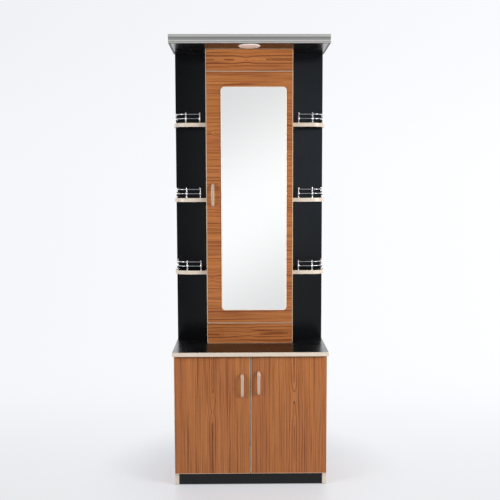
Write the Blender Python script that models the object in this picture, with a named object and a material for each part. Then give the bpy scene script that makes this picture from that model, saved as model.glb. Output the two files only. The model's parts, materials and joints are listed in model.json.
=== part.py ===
"""Salon styling unit: a two-door base cabinet, a narrow mirror cabinet on a back panel, side shelves
with gallery rails, and a canopy with a downlight.

Metres, +Z up, +X to the right of someone who faces the unit, and the front towards -Y.
The origin is on the floor, midway between the worktop's front edge and the back panel's rear face.
"""

import math

import bmesh
import bpy
from mathutils import Vector

# Boards and clearances
BOARD = 0.018                    # thickness of every board but the canopy's
FIT = 0.0003                     # clearance between pieces that touch
ARRIS = 0.0008                   # width of the broken edge of a board
DOOR_GAP = 0.002                 # bumper gap between a closed door and its carcass
SHELF_SETBACK = 0.012            # how far an inner shelf stays behind its carcass's front

# Overall sizes
WORKTOP_WIDTH = 0.7035
WORKTOP_TOP = 0.627
UNIT_DEPTH = 0.354
CANOPY_UNDERSIDE = 1.996
CANOPY_THICKNESS = 0.039
CANOPY_SIDE_OVERHANG = 0.007     # past the worktop's ends
CANOPY_DEPTH = 0.2894
PANEL_LIFT = 0.010               # back panel's lower edge above the floor

# Base cabinet
WORKTOP_END_OVERHANG = 0.0055
WORKTOP_NOSE = 0.0234            # overhang in front of the doors
GLIDE_HEIGHT = 0.003
GLIDE_RADIUS = 0.0075
GLIDE_CHAMFER = 0.001
GLIDE_INSET = 0.025              # glide's centre from the side board's front or rear edge
PLINTH_SETBACK = 0.003
BASE_DOOR_BOTTOM = 0.061
BASE_DOOR_TOP_GAP = 0.003
BASE_DOOR_REVEAL = 0.0005        # side board's front edge left uncovered beside a door
BASE_DOOR_MIDDLE_GAP = 0.003
FRONT_RAIL_DEPTH = 0.080
BASE_SHELF_RISE = 0.270          # shelf's top above the bottom board's top

# Mirror cabinet
TOWER_WIDTH = 0.4062
TOWER_DEPTH = 0.117              # carcass, in front of the back panel
BOTTOM_FASCIA_HEIGHT = 0.0965
TOP_FASCIA_HEIGHT = 0.100
FASCIA_GAP = 0.002               # between a fascia and the mirror door
TOWER_LIP = 0.008                # how far the cabinet's floor and roof show past the door's edges
MIRROR_DOOR_REVEAL = 0.0025
MIRROR_THICKNESS = 0.004
MIRROR_LEFT_MARGIN = 0.068
MIRROR_RIGHT_MARGIN = 0.0285
MIRROR_TOP_MARGIN = 0.0695
MIRROR_BOTTOM_MARGIN = 0.060
MIRROR_CORNER = 0.017

# Side shelves and their galleries
SHELF_STEPS = {"low": 0.344, "middle": 0.342, "top": 0.349}   # each shelf's top above the one below
SIDE_SHELF_DEPTH = 0.110
SIDE_SHELF_OVERHANG = 0.0035      # past the back panel's side edge
SIDE_SHELF_CORNER = 0.060
GALLERY_INSET = 0.010            # rail's centre line inside the shelf's edge
GALLERY_START = 0.027            # first post from the mirror cabinet's side
GALLERY_REAR_INSET = 0.014       # last post from the back panel
GALLERY_RAIL_HEIGHTS = (0.020, 0.040)
GALLERY_TIP = 0.008              # post above the upper rail
GALLERY_RAIL_RADIUS = 0.0021
POST_NECK_RADIUS = 0.0027
POST_BODY_RADIUS = 0.0046
POST_BODY_BELOW = 0.011          # lower end of a post's body under the lower rail
POST_BODY_ABOVE = 0.012          # and its upper end over that rail
POST_BODY_BAND = 0.003           # half the height of the body's widest part
POST_BALL_RADIUS = 0.0043
POST_BALL_BAND = 0.002           # half the height of a ball's widest part
POST_TIP_RADIUS = 0.0015
POST_TIP_HEIGHT = 0.0017         # height of the taper at a post's tip
POST_FOOT_RADIUS = 0.0055
POST_FOOT_EDGE = 0.0015          # height of a foot's upright edge
POST_FOOT_FLARE = 0.0045         # height at which the foot has narrowed to the neck

# Canopy trim and downlight
TRIM_DEPTH = 0.010
TRIM_RIB = 0.005                 # height of each of the two lower ribs
TRIM_GROOVE = 0.0015             # height and depth of the groove over each rib
TRIM_BAND = 0.011                # height of the band along the top
TRIM_COVE = 0.0035               # how far the cove under the band is hollowed
DOWNLIGHT_PLACE = 0.375          # between touching the canopy's trim, 0, and the top fascia, 1
DOWNLIGHT_RING_RADIUS = 0.049
DOWNLIGHT_RING_THICKNESS = 0.003
DOWNLIGHT_RING_CHAMFER = 0.002
DOWNLIGHT_LENS_RADIUS = 0.040
DOWNLIGHT_LENS_FLAT = 0.030      # radius of the lens's flat middle
DOWNLIGHT_LENS_DROP = 0.0015     # lens below the ring
DOWNLIGHT_DEPTH = 0.024          # housing inside the canopy
DOWNLIGHT_WALL = 0.0015

# Bow handles
HANDLE_LENGTH = 0.110
HANDLE_WIDTH = 0.013
HANDLE_PROJECTION = 0.0215
HANDLE_THICKNESS = 0.0035        # at the middle of the bow
HANDLE_FOOT = 0.009              # length of each foot on the door
HANDLE_INSET_BASE = 0.0355       # handle's centre line from a base door's free edge
HANDLE_INSET_MIRROR = 0.0302
BASE_HANDLE_DROPS = {"left": 0.079, "right": 0.068}   # handle's top below the door's top edge
MIRROR_HANDLE_RISE = 0.6015      # handle's middle above the mirror door's lower edge

# Concealed hinges
CUP_RADIUS = 0.0172
CUP_WALL = 0.0012
CUP_DEPTH = 0.0112
CUP_EDGE_DISTANCE = 0.0045       # from the door's hinge edge to the cup's bore
FLANGE_HEIGHT = 0.048
FLANGE_WIDTH = 0.017
FLANGE_THICKNESS = 0.0009
PIVOT_INSET = 0.005              # joint's axis from the door's hinge edge, at half its thickness
ARM_WIDTH = 0.009
ARM_HEIGHT = 0.013
ARM_STANDOFF = 0.002             # arm off the side board's inner face
ARM_LENGTH = 0.058               # behind the carcass's front
ARM_NOSE = 0.004                 # how far the arm reaches into the cup
PLATE_HEIGHT = 0.046
PLATE_LENGTH = 0.034
PLATE_THICKNESS = 0.004
PLATE_SETBACK = 0.018            # plate's front edge behind the carcass's front
HINGE_END = 0.090                # outer hinges from the door's lower and upper edges
MIDDLE_HINGE_RISE = 0.080        # mirror door's middle hinge above the middle shelf

# Facets of round pieces, and the tools that cut them
POST_SIDES = 8
RAIL_SIDES = 6
GLIDE_SIDES = 16
ROUND_SIDES = 28
ARC_STEPS = 6
BOW_STEPS = 16
SHARP_ANGLE = math.radians(40)   # edges sharper than this aren't shaded smooth
CUTTER_REACH = 0.018             # how far a cutter stands out of the face that it cuts
PIVOT_SIZE = 0.03                # size at which a joint's empty is drawn

# Places worked out from the sizes above
Y_FRONT = -UNIT_DEPTH / 2
Y_BACK = UNIT_DEPTH / 2
PANEL_FRONT = Y_BACK - BOARD
BASE_HALF = WORKTOP_WIDTH / 2 - WORKTOP_END_OVERHANG
SIDE_SHELF_HALF = WORKTOP_WIDTH / 2 + SIDE_SHELF_OVERHANG
BASE_DOOR_FRONT = Y_FRONT + WORKTOP_NOSE
BASE_FRONT = BASE_DOOR_FRONT + BOARD + DOOR_GAP
BASE_DOOR_TOP = WORKTOP_TOP - BOARD - BASE_DOOR_TOP_GAP
BASE_FLOOR_TOP = BASE_DOOR_BOTTOM + BOARD
TOWER_HALF = TOWER_WIDTH / 2
TOWER_FRONT = PANEL_FRONT - TOWER_DEPTH
MIRROR_DOOR_BACK = TOWER_FRONT - DOOR_GAP
MIRROR_DOOR_FRONT = MIRROR_DOOR_BACK - BOARD
MIRROR_DOOR_HALF = TOWER_HALF - MIRROR_DOOR_REVEAL
MIRROR_DOOR_BOTTOM = WORKTOP_TOP + FIT + BOTTOM_FASCIA_HEIGHT + FASCIA_GAP
MIRROR_DOOR_TOP = CANOPY_UNDERSIDE - FIT - TOP_FASCIA_HEIGHT - FASCIA_GAP
CANOPY_HALF = WORKTOP_WIDTH / 2 + CANOPY_SIDE_OVERHANG
CANOPY_FRONT = Y_BACK - CANOPY_DEPTH
CANOPY_TOP = CANOPY_UNDERSIDE + CANOPY_THICKNESS
CANOPY_BOARD_FRONT = CANOPY_FRONT + TRIM_DEPTH + FIT
FASCIA_FRONT = TOWER_FRONT - FIT - BOARD
HOUSING_INNER = DOWNLIGHT_LENS_RADIUS + FIT
HOUSING_OUTER = HOUSING_INNER + DOWNLIGHT_WALL
RECESS_RADIUS = HOUSING_OUTER + FIT
DOWNLIGHT_FOREMOST = CANOPY_BOARD_FRONT + RECESS_RADIUS
DOWNLIGHT_REARMOST = FASCIA_FRONT - DOWNLIGHT_RING_RADIUS
DOWNLIGHT_Y = DOWNLIGHT_FOREMOST + DOWNLIGHT_PLACE * (DOWNLIGHT_REARMOST - DOWNLIGHT_FOREMOST)
CUP_CENTRE = CUP_EDGE_DISTANCE + CUP_RADIUS

# Finishes: base colour, roughness, metallic
FINISHES = {
    "wood_laminate": ((0.42, 0.15, 0.045), 0.45, 0.0),
    "black_laminate": ((0.009, 0.010, 0.012), 0.30, 0.0),
    "silver_trim": ((0.60, 0.59, 0.57), 0.35, 0.9),
    "chrome": ((0.80, 0.80, 0.82), 0.12, 1.0),
    "satin_metal": ((0.62, 0.58, 0.54), 0.30, 1.0),
    "hinge_steel": ((0.58, 0.58, 0.57), 0.28, 1.0),
    "mirror": ((0.90, 0.92, 0.93), 0.02, 1.0),
    "frosted_glass": ((0.92, 0.86, 0.82), 0.35, 0.0),
    "white_housing": ((0.75, 0.75, 0.74), 0.40, 0.0),
    "black_plastic": ((0.02, 0.02, 0.02), 0.50, 0.0),
}


def clear_scene():
    """Remove every object that the file opened with."""
    for old in list(bpy.data.objects):
        bpy.data.objects.remove(old, do_unlink=True)


def finish_material(name):
    """The material of one finish, made the first time that it is asked for."""
    material = bpy.data.materials.get(name)
    if material is None:
        colour, roughness, metallic = FINISHES[name]
        material = bpy.data.materials.new(name)
        material.use_nodes = True
        shader = material.node_tree.nodes["Principled BSDF"]
        shader.inputs["Base Color"].default_value = (*colour, 1.0)
        shader.inputs["Roughness"].default_value = roughness
        shader.inputs["Metallic"].default_value = metallic
    return material


def pivot(name, x, y, z):
    """An empty on a joint's axis, the parent of all that turns with it."""
    empty = bpy.data.objects.new(name, None)
    empty.location = (x, y, z)
    empty.empty_display_size = PIVOT_SIZE
    bpy.context.collection.objects.link(empty)
    return empty


def add_object(name, mesh, place, finish, parent=None):
    """Link a mesh as an object at a place in the unit's frame, under its parent if it has one."""
    if not mesh.materials:
        mesh.materials.append(finish_material(finish))
    piece = bpy.data.objects.new(name, mesh)
    piece.parent = parent
    piece.location = Vector(place) - (parent.location if parent else Vector())
    bpy.context.collection.objects.link(piece)
    return piece


def closed_mesh(name, points, faces):
    """A mesh from points and faces, with its faces turned outwards."""
    mesh = bpy.data.meshes.new(name)
    mesh.from_pydata([tuple(point) for point in points], [], faces)
    shape = bmesh.new()
    shape.from_mesh(mesh)
    bmesh.ops.recalc_face_normals(shape, faces=shape.faces)
    shape.to_mesh(mesh)
    shape.free()
    return mesh


def block_mesh(name, size):
    """A plain cuboid about its own centre."""
    shape = bmesh.new()
    bmesh.ops.create_cube(shape, size=1.0)
    bmesh.ops.scale(shape, vec=size, verts=shape.verts)
    mesh = bpy.data.meshes.new(name)
    shape.to_mesh(mesh)
    shape.free()
    return mesh


def board(name, low, high, finish, parent=None):
    """A board between two opposite corners, its edges broken by a small arris."""
    low, high = Vector(low), Vector(high)
    mesh = block_mesh(name, high - low)
    shape = bmesh.new()
    shape.from_mesh(mesh)
    bmesh.ops.bevel(shape, geom=shape.edges[:], offset=ARRIS, segments=1, affect="EDGES")
    shape.to_mesh(mesh)
    shape.free()
    return add_object(name, mesh, (low + high) / 2, finish, parent)


def prism_mesh(name, outline, axis, length):
    """An outline of two-dimensional points carried along an axis, centred on that axis's zero."""
    count = len(outline)
    points = []
    for end in (-length / 2, length / 2):
        for first, second in outline:
            point = [first, second]
            point.insert(axis, end)
            points.append(point)
    faces = [[index, (index + 1) % count, count + (index + 1) % count, count + index]
             for index in range(count)]
    faces.append(list(range(count)))
    faces.append(list(range(count, 2 * count)))
    return closed_mesh(name, points, faces)


def turned_mesh(name, profile, sides):
    """A profile of (radius, height) points turned about Z, closed on the axis at both ends."""
    points = [(0.0, 0.0, profile[0][1])]
    for radius, height in profile:
        for step in range(sides):
            angle = 2 * math.pi * step / sides
            points.append((radius * math.cos(angle), radius * math.sin(angle), height))
    points.append((0.0, 0.0, profile[-1][1]))
    last = len(points) - 1
    faces = []
    for step in range(sides):
        after = (step + 1) % sides
        faces.append([0, 1 + after, 1 + step])
        for ring in range(len(profile) - 1):
            below, above = 1 + ring * sides, 1 + (ring + 1) * sides
            faces.append([below + step, below + after, above + after, above + step])
        top = 1 + (len(profile) - 1) * sides
        faces.append([top + step, top + after, last])
    return closed_mesh(name, points, faces)


def ring_mesh(name, profile, sides):
    """A closed profile of (radius, height) points turned about Z into a ring."""
    count = len(profile)
    points = []
    for radius, height in profile:
        for step in range(sides):
            angle = 2 * math.pi * step / sides
            points.append((radius * math.cos(angle), radius * math.sin(angle), height))
    faces = []
    for ring in range(count):
        here, there = ring * sides, ((ring + 1) % count) * sides
        for step in range(sides):
            after = (step + 1) % sides
            faces.append([here + step, here + after, there + after, there + step])
    return closed_mesh(name, points, faces)


def shade_round(mesh):
    """Shade a round piece smooth, with its real edges kept sharp."""
    mesh.shade_smooth()
    mesh.set_sharp_from_angle(angle=SHARP_ANGLE)


def combine(mesh, other, operation):
    """Union or difference of two meshes, as a new mesh. Both are used up."""
    target = bpy.data.objects.new("target", mesh)
    tool = bpy.data.objects.new("tool", other)
    for item in (target, tool):
        bpy.context.collection.objects.link(item)
    modifier = target.modifiers.new("combine", "BOOLEAN")
    modifier.object = tool
    modifier.operation = operation
    modifier.solver = "EXACT"
    result = bpy.data.meshes.new_from_object(
        target.evaluated_get(bpy.context.evaluated_depsgraph_get()))
    result.name = mesh.name
    for item in (target, tool):
        bpy.data.objects.remove(item, do_unlink=True)
    return result


def moved(mesh, offset):
    """The same mesh, shifted."""
    for vertex in mesh.vertices:
        vertex.co += Vector(offset)
    return mesh


def lying_along_y(mesh):
    """The same mesh, turned so that its +Z looks along -Y."""
    for vertex in mesh.vertices:
        x, y, z = vertex.co
        vertex.co = (x, -z, y)
    return mesh


def base_carcass():
    """Side boards on glides, bottom board level with the doors' lower edges, front rail, shelf and
    plinth."""
    rear = PANEL_FRONT - FIT
    side_bottom = GLIDE_HEIGHT + FIT
    side_top = WORKTOP_TOP - BOARD - FIT
    inner = BASE_HALF - BOARD - FIT
    for hand, sign in (("left", -1), ("right", 1)):
        across = sorted((sign * BASE_HALF, sign * (BASE_HALF - BOARD)))
        board(f"base_side_{hand}", (across[0], BASE_FRONT, side_bottom),
              (across[1], rear, side_top), "wood_laminate")
        for end, y in (("front", BASE_FRONT + GLIDE_INSET), ("rear", rear - GLIDE_INSET)):
            profile = [(GLIDE_RADIUS - GLIDE_CHAMFER, 0.0), (GLIDE_RADIUS, GLIDE_CHAMFER),
                       (GLIDE_RADIUS, GLIDE_HEIGHT)]
            mesh = turned_mesh(f"glide_{end}_{hand}", profile, GLIDE_SIDES)
            shade_round(mesh)
            add_object(mesh.name, mesh, (sign * (BASE_HALF - BOARD / 2), y, 0.0), "black_plastic")
    board("base_bottom_board", (-inner, BASE_FRONT, BASE_DOOR_BOTTOM),
          (inner, rear, BASE_FLOOR_TOP), "wood_laminate")
    board("base_front_rail", (-inner, BASE_FRONT, side_top - BOARD),
          (inner, BASE_FRONT + FRONT_RAIL_DEPTH, side_top), "wood_laminate")
    shelf_top = BASE_FLOOR_TOP + BASE_SHELF_RISE
    board("base_shelf", (-inner, BASE_FRONT + SHELF_SETBACK, shelf_top - BOARD),
          (inner, rear, shelf_top), "wood_laminate")
    plinth_front = BASE_FRONT + PLINTH_SETBACK
    board("plinth_board", (-inner, plinth_front, side_bottom),
          (inner, plinth_front + BOARD, BASE_DOOR_BOTTOM - FIT), "black_laminate")


def worktop_and_back_panel():
    """The worktop over the base cabinet, and the panel behind everything."""
    half = WORKTOP_WIDTH / 2
    board("worktop", (-half, Y_FRONT, WORKTOP_TOP - BOARD),
          (half, PANEL_FRONT - FIT, WORKTOP_TOP), "black_laminate")
    board("back_panel", (-half, PANEL_FRONT, PANEL_LIFT),
          (half, Y_BACK, CANOPY_UNDERSIDE - FIT), "black_laminate")


def shelf_tops():
    """Height of each shelf's top surface, by level."""
    tops = {}
    height = WORKTOP_TOP
    for level, step in SHELF_STEPS.items():
        height += step
        tops[level] = height
    return tops


def mirror_cabinet():
    """Side boards, floor, roof, inner shelves and the two fixed fascias."""
    rear = PANEL_FRONT - FIT
    low, high = WORKTOP_TOP + FIT, CANOPY_UNDERSIDE - FIT
    inner = TOWER_HALF - BOARD - FIT
    for hand, sign in (("left", -1), ("right", 1)):
        across = sorted((sign * TOWER_HALF, sign * (TOWER_HALF - BOARD)))
        board(f"tower_side_{hand}", (across[0], TOWER_FRONT, low),
              (across[1], rear, high), "wood_laminate")
    floor_top = MIRROR_DOOR_BOTTOM + TOWER_LIP
    board("tower_floor", (-inner, TOWER_FRONT, floor_top - BOARD), (inner, rear, floor_top),
          "wood_laminate")
    roof_bottom = MIRROR_DOOR_TOP - TOWER_LIP
    board("tower_roof", (-inner, TOWER_FRONT, roof_bottom), (inner, rear, roof_bottom + BOARD),
          "wood_laminate")
    for level, top in shelf_tops().items():
        board(f"tower_shelf_{level}", (-inner, TOWER_FRONT + SHELF_SETBACK, top - BOARD),
              (inner, rear, top), "wood_laminate")
    fascias = (("bottom_fascia", low, low + BOTTOM_FASCIA_HEIGHT),
               ("top_fascia", high - TOP_FASCIA_HEIGHT, high))
    for name, bottom, top in fascias:
        board(name, (-MIRROR_DOOR_HALF, FASCIA_FRONT, bottom),
              (MIRROR_DOOR_HALF, FASCIA_FRONT + BOARD, top), "wood_laminate")


def shelf_outline(sign, inset, start, radius):
    """Plan of a shelf's free edge: along the front, round the outer corner and back to the panel."""
    outer = SIDE_SHELF_HALF - inset
    front = PANEL_FRONT - SIDE_SHELF_DEPTH + inset
    points = [(start, front)]
    for step in range(ARC_STEPS + 1):
        angle = math.pi / 2 * step / ARC_STEPS
        points.append((outer - radius + radius * math.sin(angle),
                       front + radius - radius * math.cos(angle)))
    return [(sign * x, y) for x, y in points]


def side_shelf_mesh(sign):
    """A shelf from the mirror cabinet's side to the panel's end, with one rounded corner."""
    inner, rear = TOWER_HALF + FIT, PANEL_FRONT - FIT
    outline = shelf_outline(sign, 0.0, inner, SIDE_SHELF_CORNER)
    outline += [(sign * SIDE_SHELF_HALF, rear), (sign * inner, rear)]
    return prism_mesh("side_shelf", outline, 2, BOARD)


def post_profile():
    """A gallery post: a flared foot, a full body at the lower rail, a ball at the upper one, a tip."""
    lower, upper = GALLERY_RAIL_HEIGHTS
    tip = upper + GALLERY_TIP
    return [(POST_FOOT_RADIUS, 0.0), (POST_FOOT_RADIUS, POST_FOOT_EDGE),
            (POST_NECK_RADIUS, POST_FOOT_FLARE), (POST_NECK_RADIUS, lower - POST_BODY_BELOW),
            (POST_BODY_RADIUS, lower - POST_BODY_BAND), (POST_BODY_RADIUS, lower + POST_BODY_BAND),
            (POST_NECK_RADIUS, lower + POST_BODY_ABOVE), (POST_NECK_RADIUS, upper - POST_BALL_RADIUS),
            (POST_BALL_RADIUS, upper - POST_BALL_BAND), (POST_BALL_RADIUS, upper + POST_BALL_BAND),
            (POST_NECK_RADIUS, upper + POST_BALL_RADIUS), (POST_NECK_RADIUS, tip - POST_TIP_HEIGHT),
            (POST_TIP_RADIUS, tip)]


def rail_points(path, height):
    """Points of a round rail along a plan path, and its faces, with flat ends."""
    points, faces = [], []
    for index, (x, y) in enumerate(path):
        before, after = path[max(index - 1, 0)], path[min(index + 1, len(path) - 1)]
        along = Vector((after[0] - before[0], after[1] - before[1])).normalized()
        for step in range(RAIL_SIDES):
            angle = 2 * math.pi * (step + 0.5) / RAIL_SIDES
            out = GALLERY_RAIL_RADIUS * math.cos(angle)
            points.append((x + along.y * out, y - along.x * out,
                           height + GALLERY_RAIL_RADIUS * math.sin(angle)))
    for index in range(len(path) - 1):
        here, there = index * RAIL_SIDES, (index + 1) * RAIL_SIDES
        for step in range(RAIL_SIDES):
            after = (step + 1) % RAIL_SIDES
            faces.append([here + step, here + after, there + after, there + step])
    faces.append(list(range(RAIL_SIDES)))
    faces.append([len(points) - RAIL_SIDES + step for step in range(RAIL_SIDES)])
    return points, faces


def merged(name, parts):
    """Several (points, faces) lists in one mesh."""
    points, faces = [], []
    for part_points, part_faces in parts:
        start = len(points)
        points += part_points
        faces += [[start + index for index in face] for face in part_faces]
    return closed_mesh(name, points, faces)


def gallery_mesh(sign):
    """Two rails round a shelf's free edge, joined to the four turned posts that carry them."""
    start = TOWER_HALF + GALLERY_START
    radius = SIDE_SHELF_CORNER - GALLERY_INSET
    path = shelf_outline(sign, GALLERY_INSET, start, radius)
    rear = (path[-1][0], PANEL_FRONT - GALLERY_REAR_INSET)
    path.append(rear)
    rails = merged("gallery", [rail_points(path, height) for height in GALLERY_RAIL_HEIGHTS])
    posts = []
    for x, y in (path[0], path[1], path[-2], rear):
        post = moved(turned_mesh("post", post_profile(), POST_SIDES), (x, y, 0.0))
        posts.append(([vertex.co[:] for vertex in post.vertices],
                      [list(face.vertices) for face in post.polygons]))
    mesh = combine(rails, merged("posts", posts), "UNION")
    shade_round(mesh)
    return mesh


def side_shelves():
    """Three shelves on each side of the mirror cabinet, each with its gallery."""
    for hand, sign in (("left", -1), ("right", 1)):
        shelf, gallery = side_shelf_mesh(sign), gallery_mesh(sign)
        for level, top in shelf_tops().items():
            add_object(f"side_shelf_{hand}_{level}", shelf, (0.0, 0.0, top - BOARD / 2),
                       "black_laminate")
            add_object(f"gallery_{hand}_{level}", gallery, (0.0, 0.0, top + FIT), "chrome")


def trim_profile():
    """Section of the canopy trim: (distance inside its outermost face, height), from bottom to top."""
    rib = TRIM_GROOVE
    groove = TRIM_GROOVE * 2
    first = TRIM_RIB + TRIM_GROOVE
    second = first + TRIM_RIB + TRIM_GROOVE
    band = CANOPY_THICKNESS - TRIM_BAND
    profile = [(TRIM_DEPTH, 0.0), (rib, 0.0), (rib, TRIM_RIB), (groove, TRIM_RIB),
               (groove, first), (rib, first), (rib, second - TRIM_GROOVE),
               (TRIM_COVE, second - TRIM_GROOVE)]
    for step in range(1, ARC_STEPS):
        angle = math.pi / 2 * step / ARC_STEPS
        height = second - TRIM_GROOVE + (band - second + TRIM_GROOVE) * math.sin(angle)
        profile.append((TRIM_COVE * math.cos(angle), height))
    profile += [(0.0, band), (0.0, CANOPY_THICKNESS - TRIM_GROOVE),
                (TRIM_GROOVE, CANOPY_THICKNESS), (TRIM_DEPTH, CANOPY_THICKNESS)]
    return profile


def canopy():
    """The canopy board, with the recess for its lamp, and the moulded trim on three of its edges."""
    board_half = CANOPY_HALF - TRIM_DEPTH - FIT
    canopy_board = board("canopy_board", (-board_half, CANOPY_BOARD_FRONT, CANOPY_UNDERSIDE),
                         (board_half, Y_BACK, CANOPY_TOP), "black_laminate")
    cutter = turned_mesh("recess", [(RECESS_RADIUS, -CUTTER_REACH),
                                    (RECESS_RADIUS, DOWNLIGHT_DEPTH + FIT)], ROUND_SIDES)
    centre = Vector((0.0, DOWNLIGHT_Y, CANOPY_UNDERSIDE))
    canopy_board.data = combine(canopy_board.data, moved(cutter, centre - canopy_board.location),
                                "DIFFERENCE")

    profile = trim_profile()
    points = []
    for inset, height in profile:
        x, y, z = CANOPY_HALF - inset, CANOPY_FRONT + inset, CANOPY_UNDERSIDE + height
        points += [(-x, Y_BACK, z), (-x, y, z), (x, y, z), (x, Y_BACK, z)]
    count = len(profile)
    faces = []
    for ring in range(count):
        here, there = 4 * ring, 4 * ((ring + 1) % count)
        for step in range(3):
            faces.append([here + step, here + step + 1, there + step + 1, there + step])
    faces.append([4 * ring for ring in range(count)])
    faces.append([4 * ring + 3 for ring in range(count)])
    add_object("canopy_trim", closed_mesh("canopy_trim", points, faces), (0.0, 0.0, 0.0),
               "silver_trim")
    downlight(centre)


def downlight(centre):
    """Housing in the canopy's recess, ring under the canopy, and lens in the ring."""
    floor = DOWNLIGHT_DEPTH - DOWNLIGHT_WALL
    housing = [(HOUSING_INNER, floor), (HOUSING_INNER, 0.0), (HOUSING_OUTER, 0.0),
               (HOUSING_OUTER, DOWNLIGHT_DEPTH)]
    pieces = [("downlight_housing", turned_mesh("downlight_housing", housing, ROUND_SIDES),
               "white_housing")]
    under = -FIT - DOWNLIGHT_RING_THICKNESS
    ring = [(HOUSING_INNER, -FIT), (HOUSING_INNER, under),
            (DOWNLIGHT_RING_RADIUS - DOWNLIGHT_RING_CHAMFER, under),
            (DOWNLIGHT_RING_RADIUS, under + DOWNLIGHT_RING_CHAMFER),
            (DOWNLIGHT_RING_RADIUS, -FIT)]
    pieces.append(("downlight_ring", ring_mesh("downlight_ring", ring, ROUND_SIDES),
                   "white_housing"))
    bottom = under - DOWNLIGHT_LENS_DROP
    lens = [(DOWNLIGHT_LENS_FLAT, bottom), (DOWNLIGHT_LENS_RADIUS, under),
            (DOWNLIGHT_LENS_RADIUS, DOWNLIGHT_WALL)]
    pieces.append(("downlight_lens", turned_mesh("downlight_lens", lens, ROUND_SIDES),
                   "frosted_glass"))
    for name, mesh, finish in pieces:
        shade_round(mesh)
        add_object(name, mesh, centre, finish)


def bow_outline():
    """Side view of a bow handle: (distance in front of the door, height), about its middle."""
    half = HANDLE_LENGTH / 2
    outline = []
    for reach, rise, order in ((half, HANDLE_PROJECTION, 1),
                               (half - HANDLE_FOOT, HANDLE_PROJECTION - HANDLE_THICKNESS, -1)):
        arc = []
        for step in range(BOW_STEPS + 1):
            angle = math.pi * step / BOW_STEPS
            arc.append((-rise * math.sin(angle), reach * math.cos(angle)))
        outline += arc[::order]
    return outline


def handle(name, x, door_front, z, parent):
    """A bow handle on the front of a door."""
    mesh = prism_mesh(name, bow_outline(), 0, HANDLE_WIDTH)
    shade_round(mesh)
    add_object(name, mesh, (x, door_front - FIT, z), "satin_metal", parent)


def cup_mesh():
    """Hinge cup with its flange, mouth towards +Y, its flange's underside at zero."""
    outer, inner = CUP_RADIUS, CUP_RADIUS - CUP_WALL
    flange = block_mesh("hinge_cup", (FLANGE_WIDTH, FLANGE_THICKNESS, FLANGE_HEIGHT))
    moved(flange, (0.0, FLANGE_THICKNESS / 2, 0.0))
    plug = lying_along_y(turned_mesh("plug", [(outer, -FLANGE_THICKNESS), (outer, CUP_DEPTH)],
                                     ROUND_SIDES))
    hollow = lying_along_y(turned_mesh("hollow", [(inner, -CUTTER_REACH),
                                                  (inner, CUP_DEPTH - CUP_WALL)], ROUND_SIDES))
    mesh = combine(combine(flange, plug, "UNION"), hollow, "DIFFERENCE")
    shade_round(mesh)
    return mesh


def arm_mesh(sign):
    """Hinge arm on its plate, for a side board on the side of sign. Its zero is on the board's inner
    face, at the carcass's front."""
    nose = DOOR_GAP + ARM_NOSE
    arm = block_mesh("hinge_arm", (ARM_WIDTH, ARM_LENGTH + nose, ARM_HEIGHT))
    moved(arm, (-sign * (ARM_STANDOFF + ARM_WIDTH / 2), (ARM_LENGTH - nose) / 2, 0.0))
    plate = block_mesh("plate", (PLATE_THICKNESS, PLATE_LENGTH, PLATE_HEIGHT))
    moved(plate, (-sign * (FIT + PLATE_THICKNESS / 2), PLATE_SETBACK + PLATE_LENGTH / 2, 0.0))
    return combine(arm, plate, "UNION")


def hinged_door(name, prefix, sign, edges, front, heights, side_inner, levels):
    """A door hung on concealed hinges at its edge on the side of sign. Returns its pivot.

    edges are the door's hinge edge and free edge in X, heights its lower and upper edges, side_inner
    the inner face of the side board that carries it, and levels the hinges' names and heights.
    """
    hinge_edge, free_edge = edges
    bottom, top = heights
    back = front + BOARD
    axis = pivot(f"{name}_pivot", hinge_edge - sign * PIVOT_INSET, front + BOARD / 2, bottom)
    across = sorted(edges)
    door = board(name, (across[0], front, bottom), (across[1], back, top), "wood_laminate", axis)
    cup_x = hinge_edge - sign * CUP_CENTRE
    cup, arm = cup_mesh(), arm_mesh(sign)
    for level, z in levels:
        bore = lying_along_y(turned_mesh("bore", [(CUP_RADIUS + FIT, -CUTTER_REACH),
                                                  (CUP_RADIUS + FIT, CUP_DEPTH)], ROUND_SIDES))
        moved(bore, Vector((cup_x, back, z)) - (door.location + axis.location))
        door.data = combine(door.data, bore, "DIFFERENCE")
        add_object(f"hinge_cup_{prefix}_{level}", cup, (cup_x, back + FIT, z), "hinge_steel", axis)
        add_object(f"hinge_arm_{prefix}_{level}", arm, (side_inner, back + DOOR_GAP, z),
                   "hinge_steel")
    return axis


def base_doors():
    """The pair of doors of the base cabinet."""
    heights = (BASE_DOOR_BOTTOM, BASE_DOOR_TOP)
    levels = (("low", heights[0] + HINGE_END), ("high", heights[1] - HINGE_END))
    for hand, sign in (("left", -1), ("right", 1)):
        hinge_edge = sign * (BASE_HALF - BASE_DOOR_REVEAL)
        free_edge = sign * BASE_DOOR_MIDDLE_GAP / 2
        axis = hinged_door(f"base_door_{hand}", hand, sign, (hinge_edge, free_edge),
                           BASE_DOOR_FRONT, heights, sign * (BASE_HALF - BOARD), levels)
        handle_z = heights[1] - BASE_HANDLE_DROPS[hand] - HANDLE_LENGTH / 2
        handle(f"base_handle_{hand}", free_edge + sign * HANDLE_INSET_BASE, BASE_DOOR_FRONT,
               handle_z, axis)


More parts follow.
